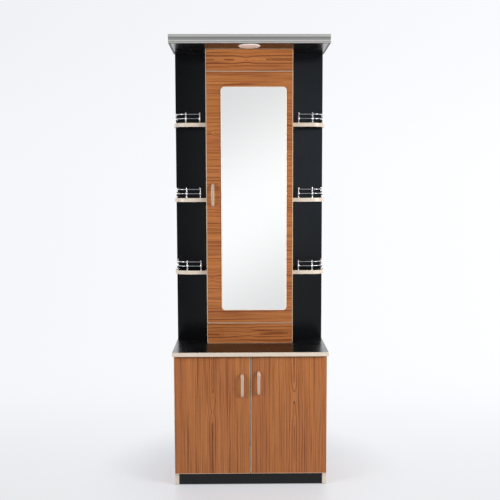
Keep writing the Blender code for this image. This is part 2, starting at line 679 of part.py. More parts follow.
def mirror_door():
    """The door of the mirror cabinet, hinged on the right, with its mirror and handle."""
    heights = (MIRROR_DOOR_BOTTOM, MIRROR_DOOR_TOP)
    levels = (("low", heights[0] + HINGE_END),
              ("middle", shelf_tops()["middle"] + MIDDLE_HINGE_RISE),
              ("high", heights[1] - HINGE_END))
    axis = hinged_door("mirror_door", "mirror", 1, (MIRROR_DOOR_HALF, -MIRROR_DOOR_HALF),
                       MIRROR_DOOR_FRONT, heights, TOWER_HALF - BOARD, levels)
    handle("mirror_handle", -MIRROR_DOOR_HALF + HANDLE_INSET_MIRROR, MIRROR_DOOR_FRONT,
           heights[0] + MIRROR_HANDLE_RISE, axis)

    low = Vector((-MIRROR_DOOR_HALF + MIRROR_LEFT_MARGIN, heights[0] + MIRROR_BOTTOM_MARGIN))
    high = Vector((MIRROR_DOOR_HALF - MIRROR_RIGHT_MARGIN, heights[1] - MIRROR_TOP_MARGIN))
    middle, half = (low + high) / 2, (high - low) / 2
    outline = []
    for quarter in range(4):
        turn = math.pi / 2 * quarter
        corner = Vector((math.copysign(half.x - MIRROR_CORNER, math.cos(turn + math.pi / 4)),
                         math.copysign(half.y - MIRROR_CORNER, math.sin(turn + math.pi / 4))))
        for step in range(ARC_STEPS + 1):
            angle = turn + math.pi / 2 * step / ARC_STEPS
            outline.append(corner + MIRROR_CORNER * Vector((math.cos(angle), math.sin(angle))))
    mesh = prism_mesh("mirror_glass", outline, 1, MIRROR_THICKNESS)
    front = MIRROR_DOOR_FRONT - FIT - MIRROR_THICKNESS / 2
    add_object("mirror_glass", mesh, (middle.x, front, middle.y), "mirror", axis)


def main():
    clear_scene()
    base_carcass()
    worktop_and_back_panel()
    mirror_cabinet()
    side_shelves()
    canopy()
    base_doors()
    mirror_door()
    bpy.context.view_layer.update()


main()
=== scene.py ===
"""Looks of the salon styling unit: boards, doors, mirror, galleries, canopy, fittings and stage.

Metres, +Z up, +X to the right of someone who faces the unit, and the front towards -Y.
Every new piece is a grid of points worked out with numpy: a section carried along a path, or a
profile turned about an axis.
"""

import json
import math
from typing import NamedTuple

import bmesh
import bpy
import numpy as np
from bpy.props import FloatProperty, FloatVectorProperty, PointerProperty
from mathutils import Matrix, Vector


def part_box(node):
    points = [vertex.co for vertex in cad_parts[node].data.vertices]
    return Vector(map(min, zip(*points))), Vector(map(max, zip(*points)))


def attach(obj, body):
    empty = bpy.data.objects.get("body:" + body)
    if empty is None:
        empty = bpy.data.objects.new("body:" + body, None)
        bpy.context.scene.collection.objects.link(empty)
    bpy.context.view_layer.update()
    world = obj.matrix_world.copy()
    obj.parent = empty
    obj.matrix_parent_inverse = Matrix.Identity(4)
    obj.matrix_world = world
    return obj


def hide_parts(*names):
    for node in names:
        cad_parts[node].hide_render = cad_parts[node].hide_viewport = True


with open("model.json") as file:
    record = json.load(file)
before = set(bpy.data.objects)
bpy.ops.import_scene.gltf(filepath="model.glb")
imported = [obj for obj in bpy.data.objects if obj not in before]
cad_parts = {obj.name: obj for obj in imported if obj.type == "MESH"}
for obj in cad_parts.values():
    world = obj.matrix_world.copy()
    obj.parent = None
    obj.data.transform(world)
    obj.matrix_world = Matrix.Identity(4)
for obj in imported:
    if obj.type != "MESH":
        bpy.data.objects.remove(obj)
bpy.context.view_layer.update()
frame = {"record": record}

bl_info = {
    "name": "Salon Styling Unit",
    "version": (1, 0, 0),
    "blender": (4, 5, 0),
    "location": "3D View > Sidebar > Styling Unit",
    "description": "Dresses a salon styling unit: boards, doors, mirror, galleries and canopy",
    "category": "Object",
}

NODE_BODY = {node: body for body, nodes in frame["record"]["behaviour"]["bodies"].items()
             for node in nodes}
X, Y, Z = 0, 1, 2
FULL_TURN = 2 * math.pi
HANDS = ("left", "right")
LEVELS = ("low", "middle", "top")
ALL_SIDES = (0, 1, 2, 3)     # of a rectangle, anticlockwise from the lowest
SHELF_EDGES = (("left", (3, 0), 0), ("right", (0, 1), 1))    # hand, banded sides, rounded corner

# How finely shapes are made
SUPPORT = 0.0003             # flat strip beside each arris, which keeps flat faces' shading flat
ARC_STEPS = 4                # facets of an arris or a small corner
CORNER_STEP = 0.0025         # radius per facet of a large corner
SMOOTH_ANGLE = math.radians(32)
WELD = 1e-6

# Screws, each a radius and a height, and their cross recess
HANDLE_SCREW = (0.004, 0.0019)
CUP_SCREW = (0.0026, 0.0009)
PLATE_SCREW = (0.0036, 0.0016)
ARM_SCREW = (0.0030, 0.00039)
BACK_SCREW = (0.004, 0.0003)
BACK_SCREW_INSET = 0.040     # from a board's end to its first screw
BACK_SCREW_PLACES = (-0.1, 0.1)              # along the level boards
SCREW_PITCH = 0.096          # between the feet of a handle
DOME_SPREAD = 1.08           # radius at which a screw's dome would end, as a share of its radius
RECESS_HALF = 0.0006         # half the width of the recess
RECESS_REACH = 0.62          # its half length, as a share of the screw's radius
RECESS_DEPTH = 0.0012
RECESS_WALL, RECESS_END = 0.0002, 0.0004     # slope of its walls and of its ends
CLEARANCE = 0.0003           # round a hinge cup or the lamp in its bore

# Galleries
GALLERY_INSET = 0.010        # rail's centre line inside the shelf's edge
GALLERY_START = 0.027        # first post from the mirror cabinet's side
GALLERY_REAR_INSET = 0.014   # last post from the back panel
GALLERY_RAILS = (0.020, 0.040)
GALLERY_HEIGHT = 0.048
RAIL_RADIUS = 0.0019
NECK_RADIUS = 0.0026
BODY_RADIUS = 0.0052
BODY_REACH = 0.0115          # half the height of a post's body
BALL_RADIUS = 0.0046
BEAD_RADIUS = 0.0035
TIP_RADIUS = 0.0022
FOOT_RADIUS = 0.0055
SHELF_CORNER = 0.060

# Handles, mirror and lamp
HANDLE_WIDTH = 0.013
HANDLE_FOOT = 0.009
HANDLE_THICKNESS = 0.0036
MIRROR_CORNER = 0.017
MIRROR_RIM = 0.005           # width of the ground and polished edge
MIRROR_RIM_DROP = 0.0016
HOUSING_WALL = 0.0015
RING_ROLL = 0.0022           # radius of the lamp ring's outer edge
LENS_RISE = 0.0015           # of the lamp lens's edge above its middle

# Moulding of the canopy
BEAD_RISE = 0.0022           # half the height of a bead
BEAD_SWELL = 0.0020          # how far a bead stands out
BEAD_PITCH = 0.0083
COVE_BOTTOM, COVE_TOP = 0.0132, 0.0275
COVE_DEPTH, COVE_HEIGHT = 0.0034, 0.0128
TRIM_ROUNDING = 0.0018
TRIM_END_ARRIS = 0.0012

# Hinges, shelf supports and buffers
TAB_HALF = 0.0085            # half the width of the cup's tabs
CUP_SCREW_OFFSET = 0.0205    # from the cup's middle
CUP_FLANGE, CUP_WALL = 0.0009, 0.0012
PLATE_FRONT = 0.024          # from the arm's nose to its plate
PLATE_LENGTH = 0.034
PLATE_HALF, RIDGE_HALF, ARM_HALF = 0.023, 0.0075, 0.0065     # half the height of each
PLATE_BASE, PLATE_THICK = 0.0018, 0.004
ARM_GAP = 0.002              # between the side board and the arm
ARM_SCREW_PLACES = (0.014, 0.030)            # from the arm's rear end
PLATE_SCREW_OFFSET = 0.016   # from the plate's middle
SUPPORT_INSET = 0.037        # of a shelf's supports from its edges
BRACKET_HALF = 0.005         # half the width of a support
BRACKET_REACH, BRACKET_DROP, BRACKET_THICK = 0.0095, 0.012, 0.0012
BRACKET_ARRIS = 0.0003
PIN_DROP, PIN_RADIUS, PIN_ROUNDING = 0.0075, 0.0025, 0.0004
BUFFER_RADIUS, BUFFER_HEIGHT = 0.0045, 0.0016
BUFFER_INSET = 0.014         # from a base door's opening edge
BUFFER_MARGIN = 0.03         # from the mirror door's top and bottom

FIGURE_REACH = 0.040         # half the length of a wood board's main figure along its grain
RELIEF = 0.0001              # height of the relief of laminates and platings


class Door(NamedTuple):
    """A door, what belongs to it, and how its print lies."""

    name: str
    hinges: str                  # word in its hinges' names
    handle: str
    side: int                    # of its hinges: -1 left, 1 right
    levels: tuple                # of its hinges
    across: int                  # axis across the grain
    along: int                   # axis along the grain
    centre: float                # of the print's figure, across the grain
    seed: float
    start: float                 # of the print's figure, along the grain


DOORS = (
    Door("base_door_left", "left", "base_handle_left", -1, ("low", "high"),
         X, Z, -0.172, 2.0, 0.345),
    Door("base_door_right", "right", "base_handle_right", 1, ("low", "high"),
         X, Z, 0.198, 7.0, 0.430),
    Door("mirror_door", "mirror", "mirror_handle", 1, ("low", "middle", "high"),
         Z, X, 1.613, 13.0, -0.18))

# Camera, as the photograph was taken, and stage
CAMERA_PLACE = (-0.037, -3.502, 1.3765)
CAMERA_YAW = math.radians(0.633)      # towards +X
CAMERA_PITCH = math.radians(4.965)    # downwards
CAMERA_ROLL = math.radians(0.15)
CAMERA_LENS = 54.39
CAMERA_SENSOR = 36.0
UNIT_MIDDLE = (0.0, -0.05, 1.0)
SOFTBOX_AZIMUTH, SOFTBOX_ELEVATION = 54.0, 10.0    # degrees round from the front, and upwards
SOFTBOX_DISTANCE = 2.7
SOFTBOX_SIZE = (1.3, 0.6)
STAGE_REACH, STAGE_FRONT, STAGE_WALL, STAGE_TOP = 14.0, -12.0, 2.6, 7.0
STAGE_BEND = 1.4


def linear(colour):
    """A colour as it looks on screen, turned into the light values that shaders take."""
    value = np.asarray(colour[:3], float)
    return (*np.where(value <= 0.04045, value / 12.92, ((value + 0.055) / 1.055) ** 2.4), 1.0)


def colour_property(name, description, default):
    """A screen colour that the sidebar shows."""
    return FloatVectorProperty(name=name, description=description, default=default, size=3,
                               min=0.0, max=1.0, subtype="COLOR_GAMMA")


def length_property(name, description, default):
    """A length that the sidebar shows."""
    return FloatProperty(name=name, description=description, default=default, min=0.0001,
                         max=0.02, precision=5, unit="LENGTH")


class BoardSettings(bpy.types.PropertyGroup):
    """Sizes of the boards' edges."""

    arris: length_property("Arris", "Radius of the edges of an edge band", 0.0006)
    door_band: length_property("Door Band", "Thickness of the edge band of doors", 0.0020)
    top_band: length_property("Top Band", "Thickness of the edge band of the worktop", 0.002)
    board_band: length_property("Board Band", "Thickness of the edge band of other boards", 0.0012)


class FinishSettings(bpy.types.PropertyGroup):
    """Colours of the finishes, as they look on screen."""

    wood_light: colour_property("Wood Light", "Lightest streaks of the wood", (0.765, 0.485, 0.255))
    wood_middle: colour_property("Wood Middle", "Main colour of the wood", (0.675, 0.405, 0.188))
    wood_dark: colour_property("Wood Dark", "Dark lines of the wood", (0.43, 0.20, 0.06))
    wood_warm: colour_property("Wood Warm", "Reddish stretches of the wood", (0.67, 0.39, 0.21))
    black: colour_property("Black Laminate", "Worktop, shelves and panels", (0.032, 0.035, 0.045))
    band: colour_property("Edge Band", "Pale edge of tops, shelves and feet", (0.85, 0.795, 0.73))
    front_band: colour_property("Front Band", "Edge of the wood-print boards", (0.80, 0.70, 0.60))
    trim: colour_property("Canopy Trim", "Moulding round the canopy", (0.67, 0.67, 0.66))
    # Painted shade: the moulding's cove and groove take this darker colour for the shade that falls
    # in them
    trim_dark: colour_property("Trim Cove", "Dark cove of the moulding", (0.49, 0.49, 0.49))
    chrome: colour_property("Chrome", "Galleries", (0.76, 0.76, 0.77))
    satin: colour_property("Handles", "Satin nickel of the handles", (0.80, 0.70, 0.62))
    steel: colour_property("Hinges", "Nickel-plated steel of the hinges", (0.74, 0.74, 0.73))
    lens: colour_property("Lamp Lens", "Opal lens of the lamp", (0.95, 0.87, 0.83))


class StageSettings(bpy.types.PropertyGroup):
    """Lights and backdrop."""

    key: FloatProperty(name="Key Light", description="Power of the softbox on the right",
                       default=62.0, min=0.0, unit="POWER")
    fill: FloatProperty(name="Fill Light", description="Power of the softbox on the left",
                        default=42.0, min=0.0, unit="POWER")
    ambient: FloatProperty(name="Ambient", description="Strength of the light from all round",
                           default=0.09, min=0.0, max=2.0)
    backdrop: colour_property("Backdrop", "Backdrop and world", (0.98, 0.984, 0.996))
    floor: colour_property("Floor", "Floor near the unit", (0.96, 0.972, 1.0))


class UnitSettings(bpy.types.PropertyGroup):
    """All the settings of the styling unit."""

    boards: PointerProperty(type=BoardSettings)
    finishes: PointerProperty(type=FinishSettings)
    stage: PointerProperty(type=StageSettings)


def chosen():
    """The unit's settings in the sidebar."""
    return bpy.context.scene.styling_unit


def box(name):
    """Lowest corner, highest corner and middle of a CAD node."""
    low, high = (np.array(corner, float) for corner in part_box(name))
    return low, high, (low + high) / 2


def others(axis):
    """The two axes that are not this one."""
    return [other for other in (X, Y, Z) if other != axis]


# Surfaces: points and faces

def surface(points, wrap_rows=False, wrap_columns=True, caps=True):
    """A grid of points, rows by columns, with its faces: quads between neighbours, closed into a
    ring either way where asked, and one flat face over the first and last row where it has caps."""
    rows, columns = points.shape[:2]
    row, column = np.meshgrid(np.arange(rows - (not wrap_rows)),
                              np.arange(columns - (not wrap_columns)), indexing="ij")
    below, beside = (row + 1) % rows, (column + 1) % columns
    quads = np.stack([row * columns + column, row * columns + beside,
                      below * columns + beside, below * columns + column], -1)
    faces = quads.reshape(-1, 4).tolist()
    if caps and not wrap_rows:
        faces += [list(range(columns)), list(range((rows - 1) * columns, rows * columns))]
    return points.reshape(-1, 3), faces


def arc(centre, radii, start, end, count):
    """Points on an ellipse, centre + (a cos t, b sin t), with t between two angles in degrees."""
    turn = np.radians(np.linspace(start, end, count))
    return np.stack([centre[0] + radii[0] * np.cos(turn), centre[1] + radii[1] * np.sin(turn)], -1)


def rectangle_path(low, high, radii, sides=None):
    """Points round a rectangle, anticlockwise, and at each the direction out of it, against which
    an inset moves it.

    Corner k is the start of side k. Round a corner of radius r the points are
    centre + r (cos t n + sin t m), with n and m the directions out of its two sides; a corner
    without a radius is one point, its direction n + m. sides=None goes all the way round.
    """
    corners = np.array([low, (high[0], low[1]), high, (low[0], high[1])])
    outward = np.array([(0.0, -1.0), (1.0, 0.0), (0.0, 1.0), (-1.0, 0.0)])
    points, offsets = ([], []) if sides is None else ([[corners[sides[0]]]], [[outward[sides[0]]]])
    for side in sides or ALL_SIDES:
        after = (side + 1) % 4
        corner, n, m, radius = corners[after], outward[side], outward[after], radii[after]
        last = sides is not None and side == sides[-1]
        if last or radius <= 0:
            points.append([corner])
            offsets.append([n if last else n + m])
            continue
        steps = max(ARC_STEPS, int(radius / CORNER_STEP))
        turn = np.linspace(0, math.pi / 2, steps + 1)[:, None]
        way = np.cos(turn) * n + np.sin(turn) * m
        points += [[corner - (radius + SUPPORT) * m], corner - radius * (n + m) + radius * way,
                   [corner - (radius + SUPPORT) * n]]
        offsets += [[n], way, [m]]
    return np.concatenate(points), np.concatenate(offsets)


def straight_path(start, end, way):
    """A path from start to end, along which an inset moves against a way."""
    return np.array([start, end]), np.array([way, way])


def carried(outline, section, thin):
    """A section of (inset, height) points carried along an outline, in the plane square to thin.

    Point (i, j) is path i moved by -inset j along offset i, at height j along the thin axis.
    """
    path, offsets = outline
    section = np.asarray(section, float)
    points = np.empty((len(path), len(section), 3))
    points[..., others(thin)] = path[:, None] - offsets[:, None] * section[:, :1]
    points[..., thin] = section[:, 1]
    return points


def prism(outline, section, thin):
    """A section carried round a closed outline, with a flat face over each end of the section."""
    return surface(carried(outline, section, thin).transpose(1, 0, 2))


def arris_section(bottom, top, radius):
    """Points (inset, height) up a board's edge, with a quarter turn of the radius at each arris and
    a support point on the flat beside it."""
    lower = arc((radius, bottom + radius), (radius, radius), -90, -180, ARC_STEPS + 1)
    upper = lower[::-1] * (1, -1) + (0, bottom + top)
    supports = np.array([(radius + SUPPORT, bottom), (0.0, bottom + radius + SUPPORT),
                         (0.0, top - radius - SUPPORT), (radius + SUPPORT, top)])
    return np.concatenate([supports[:1], lower, supports[1:3], upper, supports[3:]])


def slab(low, high, thin, radius, corner=0.0):
    """A solid rectangle with rounded arrises: the arris section carried round its outline."""
    flat = others(thin)
    outline = rectangle_path([low[axis] for axis in flat], [high[axis] for axis in flat],
                             (max(corner, radius + SUPPORT),) * 4)
    return prism(outline, arris_section(low[thin], high[thin], radius), thin)


def turned(centre, profile, sides, axis=Z, wrap=False):
    """Rows of (radius, height) turned about an axis through centre: (r cos t, r sin t, h).

    sides is the number of angles t, or the angles themselves. A radius or height may be one number
    or differ from angle to angle. The surface is closed on the axis, or into a ring where it wraps.
    """
    turn = np.linspace(0, FULL_TURN, sides, endpoint=False) if isinstance(sides, int) else sides
    radius, height = (np.array([np.broadcast_to(value, turn.shape) for value in column])
                      for column in zip(*profile))
    wide, tall = others(axis)
    points = np.empty((*radius.shape, 3))
    points[..., wide] = centre[wide] + radius * np.cos(turn)
    points[..., tall] = centre[tall] + radius * np.sin(turn)
    points[..., axis] = centre[axis] + height
    return surface(points, wrap_rows=wrap)


def to_rectangle(turn, low, high):
    """How far a ray from the origin at each angle runs to the sides of a rectangle round it."""
    cos, sin = np.cos(turn), np.sin(turn)
    return np.minimum(np.where(cos > 0, high[0], -low[0]) / np.maximum(np.abs(cos), 1e-9),
                      np.where(sin > 0, high[1], -low[1]) / np.maximum(np.abs(sin), 1e-9))


def screw_head(centre, axis, sign, radius, height, sides=32):
    """A domed screw head with a cross recess, its seat at centre and its dome along sign * axis.

    Height over the seat is h sqrt(1 - (r / sR)^2), with s the dome's spread, less the recess where
    the smaller of |r cos t| and |r sin t| is inside its half width and r is inside its reach.
    """
    turn = np.linspace(0, FULL_TURN, sides, endpoint=False)
    nearest = np.minimum(np.abs(np.cos(turn)), np.abs(np.sin(turn)))
    reach = np.linspace(1.0, 0.0, 12)[:, None] * radius
    dome = height * np.sqrt(1 - (reach / (DOME_SPREAD * radius)) ** 2)
    slot = (np.clip((RECESS_HALF - nearest * reach) / RECESS_WALL, 0, 1)
            * np.clip((RECESS_REACH * radius - reach) / RECESS_END, 0, 1))
    rows = [(radius, 0.0), *zip(reach[:, 0], sign * (dome - RECESS_DEPTH * slot))]
    return turned(centre, rows, sides, axis)


# Pieces

def joined_mesh(name, surfaces):
    """One mesh of several surfaces, welded where they meet, with its faces outwards."""
    points = np.concatenate([part_points for part_points, _ in surfaces])
    faces, start = [], 0
    for part_points, part_faces in surfaces:
        faces += [[start + index for index in face] for face in part_faces]
        start += len(part_points)
    mesh = bpy.data.meshes.new(name)
    mesh.from_pydata(points.tolist(), [], faces)
    shape = bmesh.new()
    shape.from_mesh(mesh)
    bmesh.ops.remove_doubles(shape, verts=shape.verts, dist=WELD)
    bmesh.ops.recalc_face_normals(shape, faces=shape.faces)
    shape.to_mesh(mesh)
    shape.free()
    return mesh


def linked(name, data):
    """An object of some data, in the scene."""
    made = bpy.data.objects.new(name, data)
    bpy.context.scene.collection.objects.link(made)
    return made


def shade(mesh):
    """Shade a mesh smooth, apart from its sharp edges."""
    mesh.shade_smooth()
    mesh.set_sharp_from_angle(angle=SMOOTH_ANGLE)


def make_piece(name, surfaces, finish, cad, grain=None, replaces=True):
    """One object from several surfaces. It rides on its CAD node's body and takes the node's place.

    finish is a row of FINISHES. grain is a function of the points that gives the piece's own
    pattern coordinates.
    """
    mesh = joined_mesh(name, surfaces)
    shade(mesh)
    mesh.materials.append(material(finish))
    piece = linked(name, mesh)
    if grain is not None:
        store_grain(piece, grain)
    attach(piece, NODE_BODY[cad])
    FINISHES[finish].slot
    if replaces:
        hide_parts(cad)
    return piece


def store_grain(piece, grain):
    """Write the pattern coordinates that grain gives for the piece's points."""
    mesh = piece.data
    places = np.empty(len(mesh.vertices) * 3, np.float32)
    mesh.vertices.foreach_get("co", places)
    values = grain(places.reshape(-1, 3).astype(float)).astype(np.float32)
    layer = mesh.attributes.get("grain") or mesh.attributes.new("grain", "FLOAT_VECTOR", "POINT")
    layer.data.foreach_set("vector", values.ravel())


def along_board(across, along, centre, seed, start):
    """Pattern coordinates of a board: distance across the grain from the figure's centre, distance
    along the grain, and a seed of its own."""
    def grain(points):
        return np.stack([points[:, across] - centre, points[:, along] - start,
                         np.full(len(points), seed)], -1)
    return grain


def banded_board(name, thin, sides, finishes, width=None, grain=None, corners=(0.0,) * 4,
                 ends=None):
    """A board's core, and the edge band on those of its sides that have one. Returns the core.

    The core is the board's outline, moved in by the band's thickness on banded sides, from face to
    face. The band is a thin ring section with rounded arrises, carried along the banded sides.
    """
    settings = chosen().boards
    width = width or settings.board_band
    low, high = ends or box(name)[:2]
    flat = others(thin)
    start, end, bottom, top = low[flat], high[flat], low[thin], high[thin]
    radii = [max(corner, width + SUPPORT) if {(index - 1) % 4, index} <= set(sides) else corner
             for index, corner in enumerate(corners)]
    core = rectangle_path(start + width * np.array([3 in sides, 0 in sides]),
                          end - width * np.array([1 in sides, 2 in sides]),
                          [radius - width if radius > 0 else 0.0 for radius in radii])
    board = make_piece(f"{name}_board", [prism(core, [(0.0, bottom), (0.0, top)], thin)],
                       finishes[0], name, grain)
    if sides:
        loop = len(sides) == 4
        section = arris_section(bottom, top, min(settings.arris, width - 2 * SUPPORT))
        section = np.concatenate([[(width, bottom)], section, [(width, top)]])
        outline = rectangle_path(start, end, radii, None if loop else sides)

        def banding(points):
            return np.stack([points[:, thin], points[:, flat[0]] + points[:, flat[1]],
                             points[:, thin] * 0.0], -1)
        make_piece(f"{name}_band", [surface(carried(outline, section, thin), wrap_rows=loop)],
                   finishes[1], name, banding)
    return board


def wood_board(name, thin, across, along, sides, centre=None, seed=0.0, start=0.0, width=None,
               edge="front_band_satin"):
    """A wood-print board of the unit with its edge bands."""
    if centre is None:
        centre = box(name)[2][across]
    face = "wood_level_print" if along == X else "wood_upright_print"
    grain = along_board(across, along, centre, seed, start)
    return banded_board(name, thin, sides, (face, edge), width, grain)


def black_board(name, thin, sides, width=None, corners=(0.0,) * 4, ends=None):
    """A black board with its edge bands. Upright panels are smooth, tops have a pearl texture."""
    face = "black_laminate_smooth" if thin == Y else "black_laminate_pearl"
    banded_board(name, thin, sides, (face, "edge_band_satin"), width, None, corners, ends)


# Shader values

class Socket:
    """An output of a shader node. Its sums, differences, products and quotients are Math nodes, and
    socket[key] is another output of the same node."""

    def __init__(self, source, key=0):
        self.source, self.tree, self.end = source, source.id_data, source.outputs[key]

    def __getitem__(self, key):
        return Socket(self.source, key)

    __add__ = __radd__ = lambda self, other: maths("ADD", self, other)
    __mul__ = __rmul__ = lambda self, other: maths("MULTIPLY", self, other)
    __sub__ = lambda self, other: maths("SUBTRACT", self, other)
    __rsub__ = lambda self, other: maths("SUBTRACT", other, self)
    __truediv__ = lambda self, other: maths("DIVIDE", self, other)


def put(target, values):
    """Set inputs of a shader node, each to a value or to a link from a Socket."""
    for key, value in values.items():
        if isinstance(value, Socket):
            value.tree.links.new(value.end, target.inputs[key])
        else:
            target.inputs[key].default_value = value


def node(tree, kind, inputs=None, **settings):
    """A new shader node with its settings and inputs, as the Socket of its first output."""
    made = tree.nodes.new(kind)
    for key, value in settings.items():
        setattr(made, key, value)
    put(made, inputs or {})
    return Socket(made)


def maths(operation, *values, clamp=False):
    """The result of a Math node, of which at least one value is a Socket."""
    tree = next(value.tree for value in values if isinstance(value, Socket))
    return node(tree, "ShaderNodeMath", dict(enumerate(values)), operation=operation,
                use_clamp=clamp)


def largest(first, second):
    """The larger of two values."""
    return maths("MAXIMUM", first, second)


def size(value):
    """A value without its sign."""
    return maths("ABSOLUTE", value)


def blended(factor, first, second):
    """The result of a Mix node between two colours."""
    return node(factor.tree, "ShaderNodeMix", {0: factor, 6: first, 7: second}, data_type="RGBA")[2]


def mottle(vector, scale, detail, roughness=0.5):
    """Noise, from 0 to 1, at a point."""
    return node(vector.tree, "ShaderNodeTexNoise", {"Vector": vector, "Scale": scale,
                                                    "Detail": detail, "Roughness": roughness})


def noise(x, y, z, detail=2.0, roughness=0.5):
    """Noise, from 0 to 1, at a point put together from three values."""
    return mottle(node(z.tree, "ShaderNodeCombineXYZ", {0: x, 1: y, 2: z}), 1.0, detail, roughness)


def ramp(value, low, high, smooth=True):
    """0 below low and 1 above high, with a smooth step between. low may be above high."""
    return node(value.tree, "ShaderNodeMapRange",
                {"Value": value, "From Min": low, "From Max": high},
                interpolation_type="SMOOTHSTEP" if smooth else "LINEAR", clamp=True)


def split_axes(vector):
    """The three parts of a vector."""
    return node(vector.tree, "ShaderNodeSeparateXYZ", {0: vector})


# Node groups

def new_group(name, inputs, outputs):
    """An empty node group: its inputs as a Socket, and the node that its results go to. inputs and
    outputs give each socket's kind, or its default where it is a number."""
    tree = bpy.data.node_groups.new(name, "ShaderNodeTree")
    for way, sockets in (("INPUT", inputs), ("OUTPUT", outputs)):
        for label, kind in sockets.items():
            number = isinstance(kind, float)
            made = tree.interface.new_socket(
                label, in_out=way, socket_type="NodeSocketFloat" if number else f"NodeSocket{kind}")
            if number:
                made.default_value = kind
    return Socket(tree.nodes.new("NodeGroupInput")), tree.nodes.new("NodeGroupOutput")


def wood_grain_group():
    """Crown-cut veneer print. Each leaf is a cut through rings about an axis that wanders along the
    board at a changing depth: ring distance R = sqrt(across^2 + depth^2). Every step of R is a
    growth line, dark on one side and fading on the other, so that lines run straight at the leaf's
    sides and close into long arches at its middle. Lines stay thin where R changes slowly."""
    given, result = new_group(
        "Wood Grain",
        {"Grain": "Vector", "Leaf Width": 0.34, "Figure Depth": 0.0125, "Line Spacing": 0.010,
         "Line Strength": 0.8, "Light": "Color", "Middle": "Color", "Dark": "Color",
         "Warm": "Color"},
        {"Color": "Color", "Gloss": "Float", "Height": "Float"})
    spacing, dark = given["Line Spacing"], given["Dark"]
    wide, along, own = split_axes(given["Grain"])
    leaf = maths("ROUND", wide / given["Leaf Width"])
    across = wide - leaf * given["Leaf Width"]
    seed = leaf * 2.71 + own

    # The rings: their axis, its depth under the surface and how steeply the cut meets them
    wander = noise(across * 2.0, along * 1.5, seed, 1.0) - 0.5
    ripple = noise(across * 42.0, along * 12.0, seed + 5.0, 2.0) - 0.5
    centred = ripple * 0.006 + (wander * 0.02 + across)
    figure = maths("EXPONENT", maths("POWER", along * (1 / FIGURE_REACH), 2.0) * -1.0)
    lesser = ramp(noise(0.0, along * 6.5, seed + 9.0, 0.0), 0.45, 0.75)
    depth = (lesser * 0.7 + figure) * given["Figure Depth"]
    rings = maths("SQRT", maths("POWER", centred, 2.0) + maths("POWER", depth, 2.0))
    slope = largest(size(centred) / rings, 0.45)

    def growth(step, sharp, fade, shift):
        """Lines a step apart on average: a share sharp of it on one side, fade on the other."""
        count = rings / step
        moved = noise(count * 0.4, along * 0.5, seed + shift, 1.0)
        phase = maths("FRACT", moved * 1.6 + count)
        return largest(ramp(phase, 1.0 - slope * fade, 1.0), ramp(phase, slope * sharp, 0.0))

    # Lines, broad tones and pores
    present = ramp(noise(rings * 0.6 / spacing, along * 2.2, seed + 27.0), 0.38, 0.60)
    near = ramp(rings, 0.040, 0.004)
    strong = growth(spacing, 0.07, 0.28, 20.0) * (near * 0.85 + (present * 0.75 + 0.05))
    fine = growth(0.0046, 0.20, 0.55, 33.0) * ramp(
        noise(rings * 150.0, along * 1.5, seed + 37.0), 0.35, 0.65)
    tone = ramp(noise(rings * 45.0, along * 0.7, seed + 41.0, 3.0, 0.75), 0.30, 0.70)
    streaks = ramp(noise(wide * 130.0, along * 2.5, seed + 61.0, 2.0, 0.6), 0.50, 0.68)
    warm = ramp(noise(across * 9.0, along * 0.8, seed + 53.0, 1.0), 0.42, 0.66)
    fibre = noise(wide * 1100.0, along * 17.0, seed, 2.0)
    pores = ramp(noise(wide * 1500.0, along * 60.0, seed + 3.0, 1.0), 0.60, 0.70)
    lines = maths("ADD", strong, fine * 0.50 + streaks * 0.46, clamp=True) * given["Line Strength"]
    colour = blended(tone * 0.7 + 0.15, given["Middle"], given["Light"])
    colour = blended(warm * 0.5, colour, given["Warm"])
    colour = blended(pores * 0.35, blended(lines, colour, dark), dark)
    put(result, {"Color": node(given.tree, "ShaderNodeHueSaturation",
                               {"Value": fibre * 0.24 + 0.88, "Color": colour}),
                 "Gloss": pores * 0.5 + fibre * 0.5,
                 "Height": fibre * 0.35 - (strong * 0.3 + pores)})
    return given.tree


def unevenness_group():
    """A finish that isn't quite even: broad smears and a fine texture in gloss and height."""
    given, result = new_group(
        "Unevenness",
        {"Vector": "Vector", "Texture Scale": 900.0, "Roughness": 0.4, "Smear": 0.06},
        {"Roughness": "Float", "Height": "Float"})
    smear = (mottle(given["Vector"], 7.0, 4.0, 0.6) - 0.5) * given["Smear"]
    put(result, {"Roughness": maths("ADD", given["Roughness"], smear * 4.0, clamp=True),
                 "Height": mottle(given["Vector"], given["Texture Scale"], 2.0)})
    return given.tree


def dust_group():
    """Light dust and a few specks over a colour."""
    given, result = new_group("Dust", {"Vector": "Vector", "Color": "Color", "Amount": 0.1},
                              {"Color": "Color"})
    specks = node(given.tree, "ShaderNodeTexVoronoi", {"Vector": given["Vector"], "Scale": 85.0})
    patches = mottle(given["Vector"], 11.0, 5.0)
    dots = ramp(specks, 0.055, 0.02) * ramp(patches, 0.5, 0.62)
    amount = maths("ADD", dots, ramp(patches, 0.35, 0.75) * 0.25, clamp=True) * given["Amount"]
    put(result, {"Color": blended(amount, given["Color"], linear((0.72, 0.70, 0.68)))})
    return given.tree


def group_node(tree, name, inputs):
    """A node group of the file, placed in a material."""
    makers = {"Wood Grain": wood_grain_group, "Unevenness": unevenness_group, "Dust": dust_group}
    return node(tree, "ShaderNodeGroup", inputs,
                node_tree=bpy.data.node_groups.get(name) or makers[name]())


# Materials

class Finish(NamedTuple):
    """What a material is like. colour is a screen colour, or the name of one in the settings."""

    slot: str
    colour: object
    roughness: float
    metallic: float = 0.0
    bump: float = 0.0
    scale: float = 900.0         # of the fine texture in gloss and height
    smear: float = 0.06
    dust: float = 0.0
    specular: float = 0.5
    subsurface: float = 0.0
    on_grain: bool = False       # whether the texture follows the piece's pattern coordinates


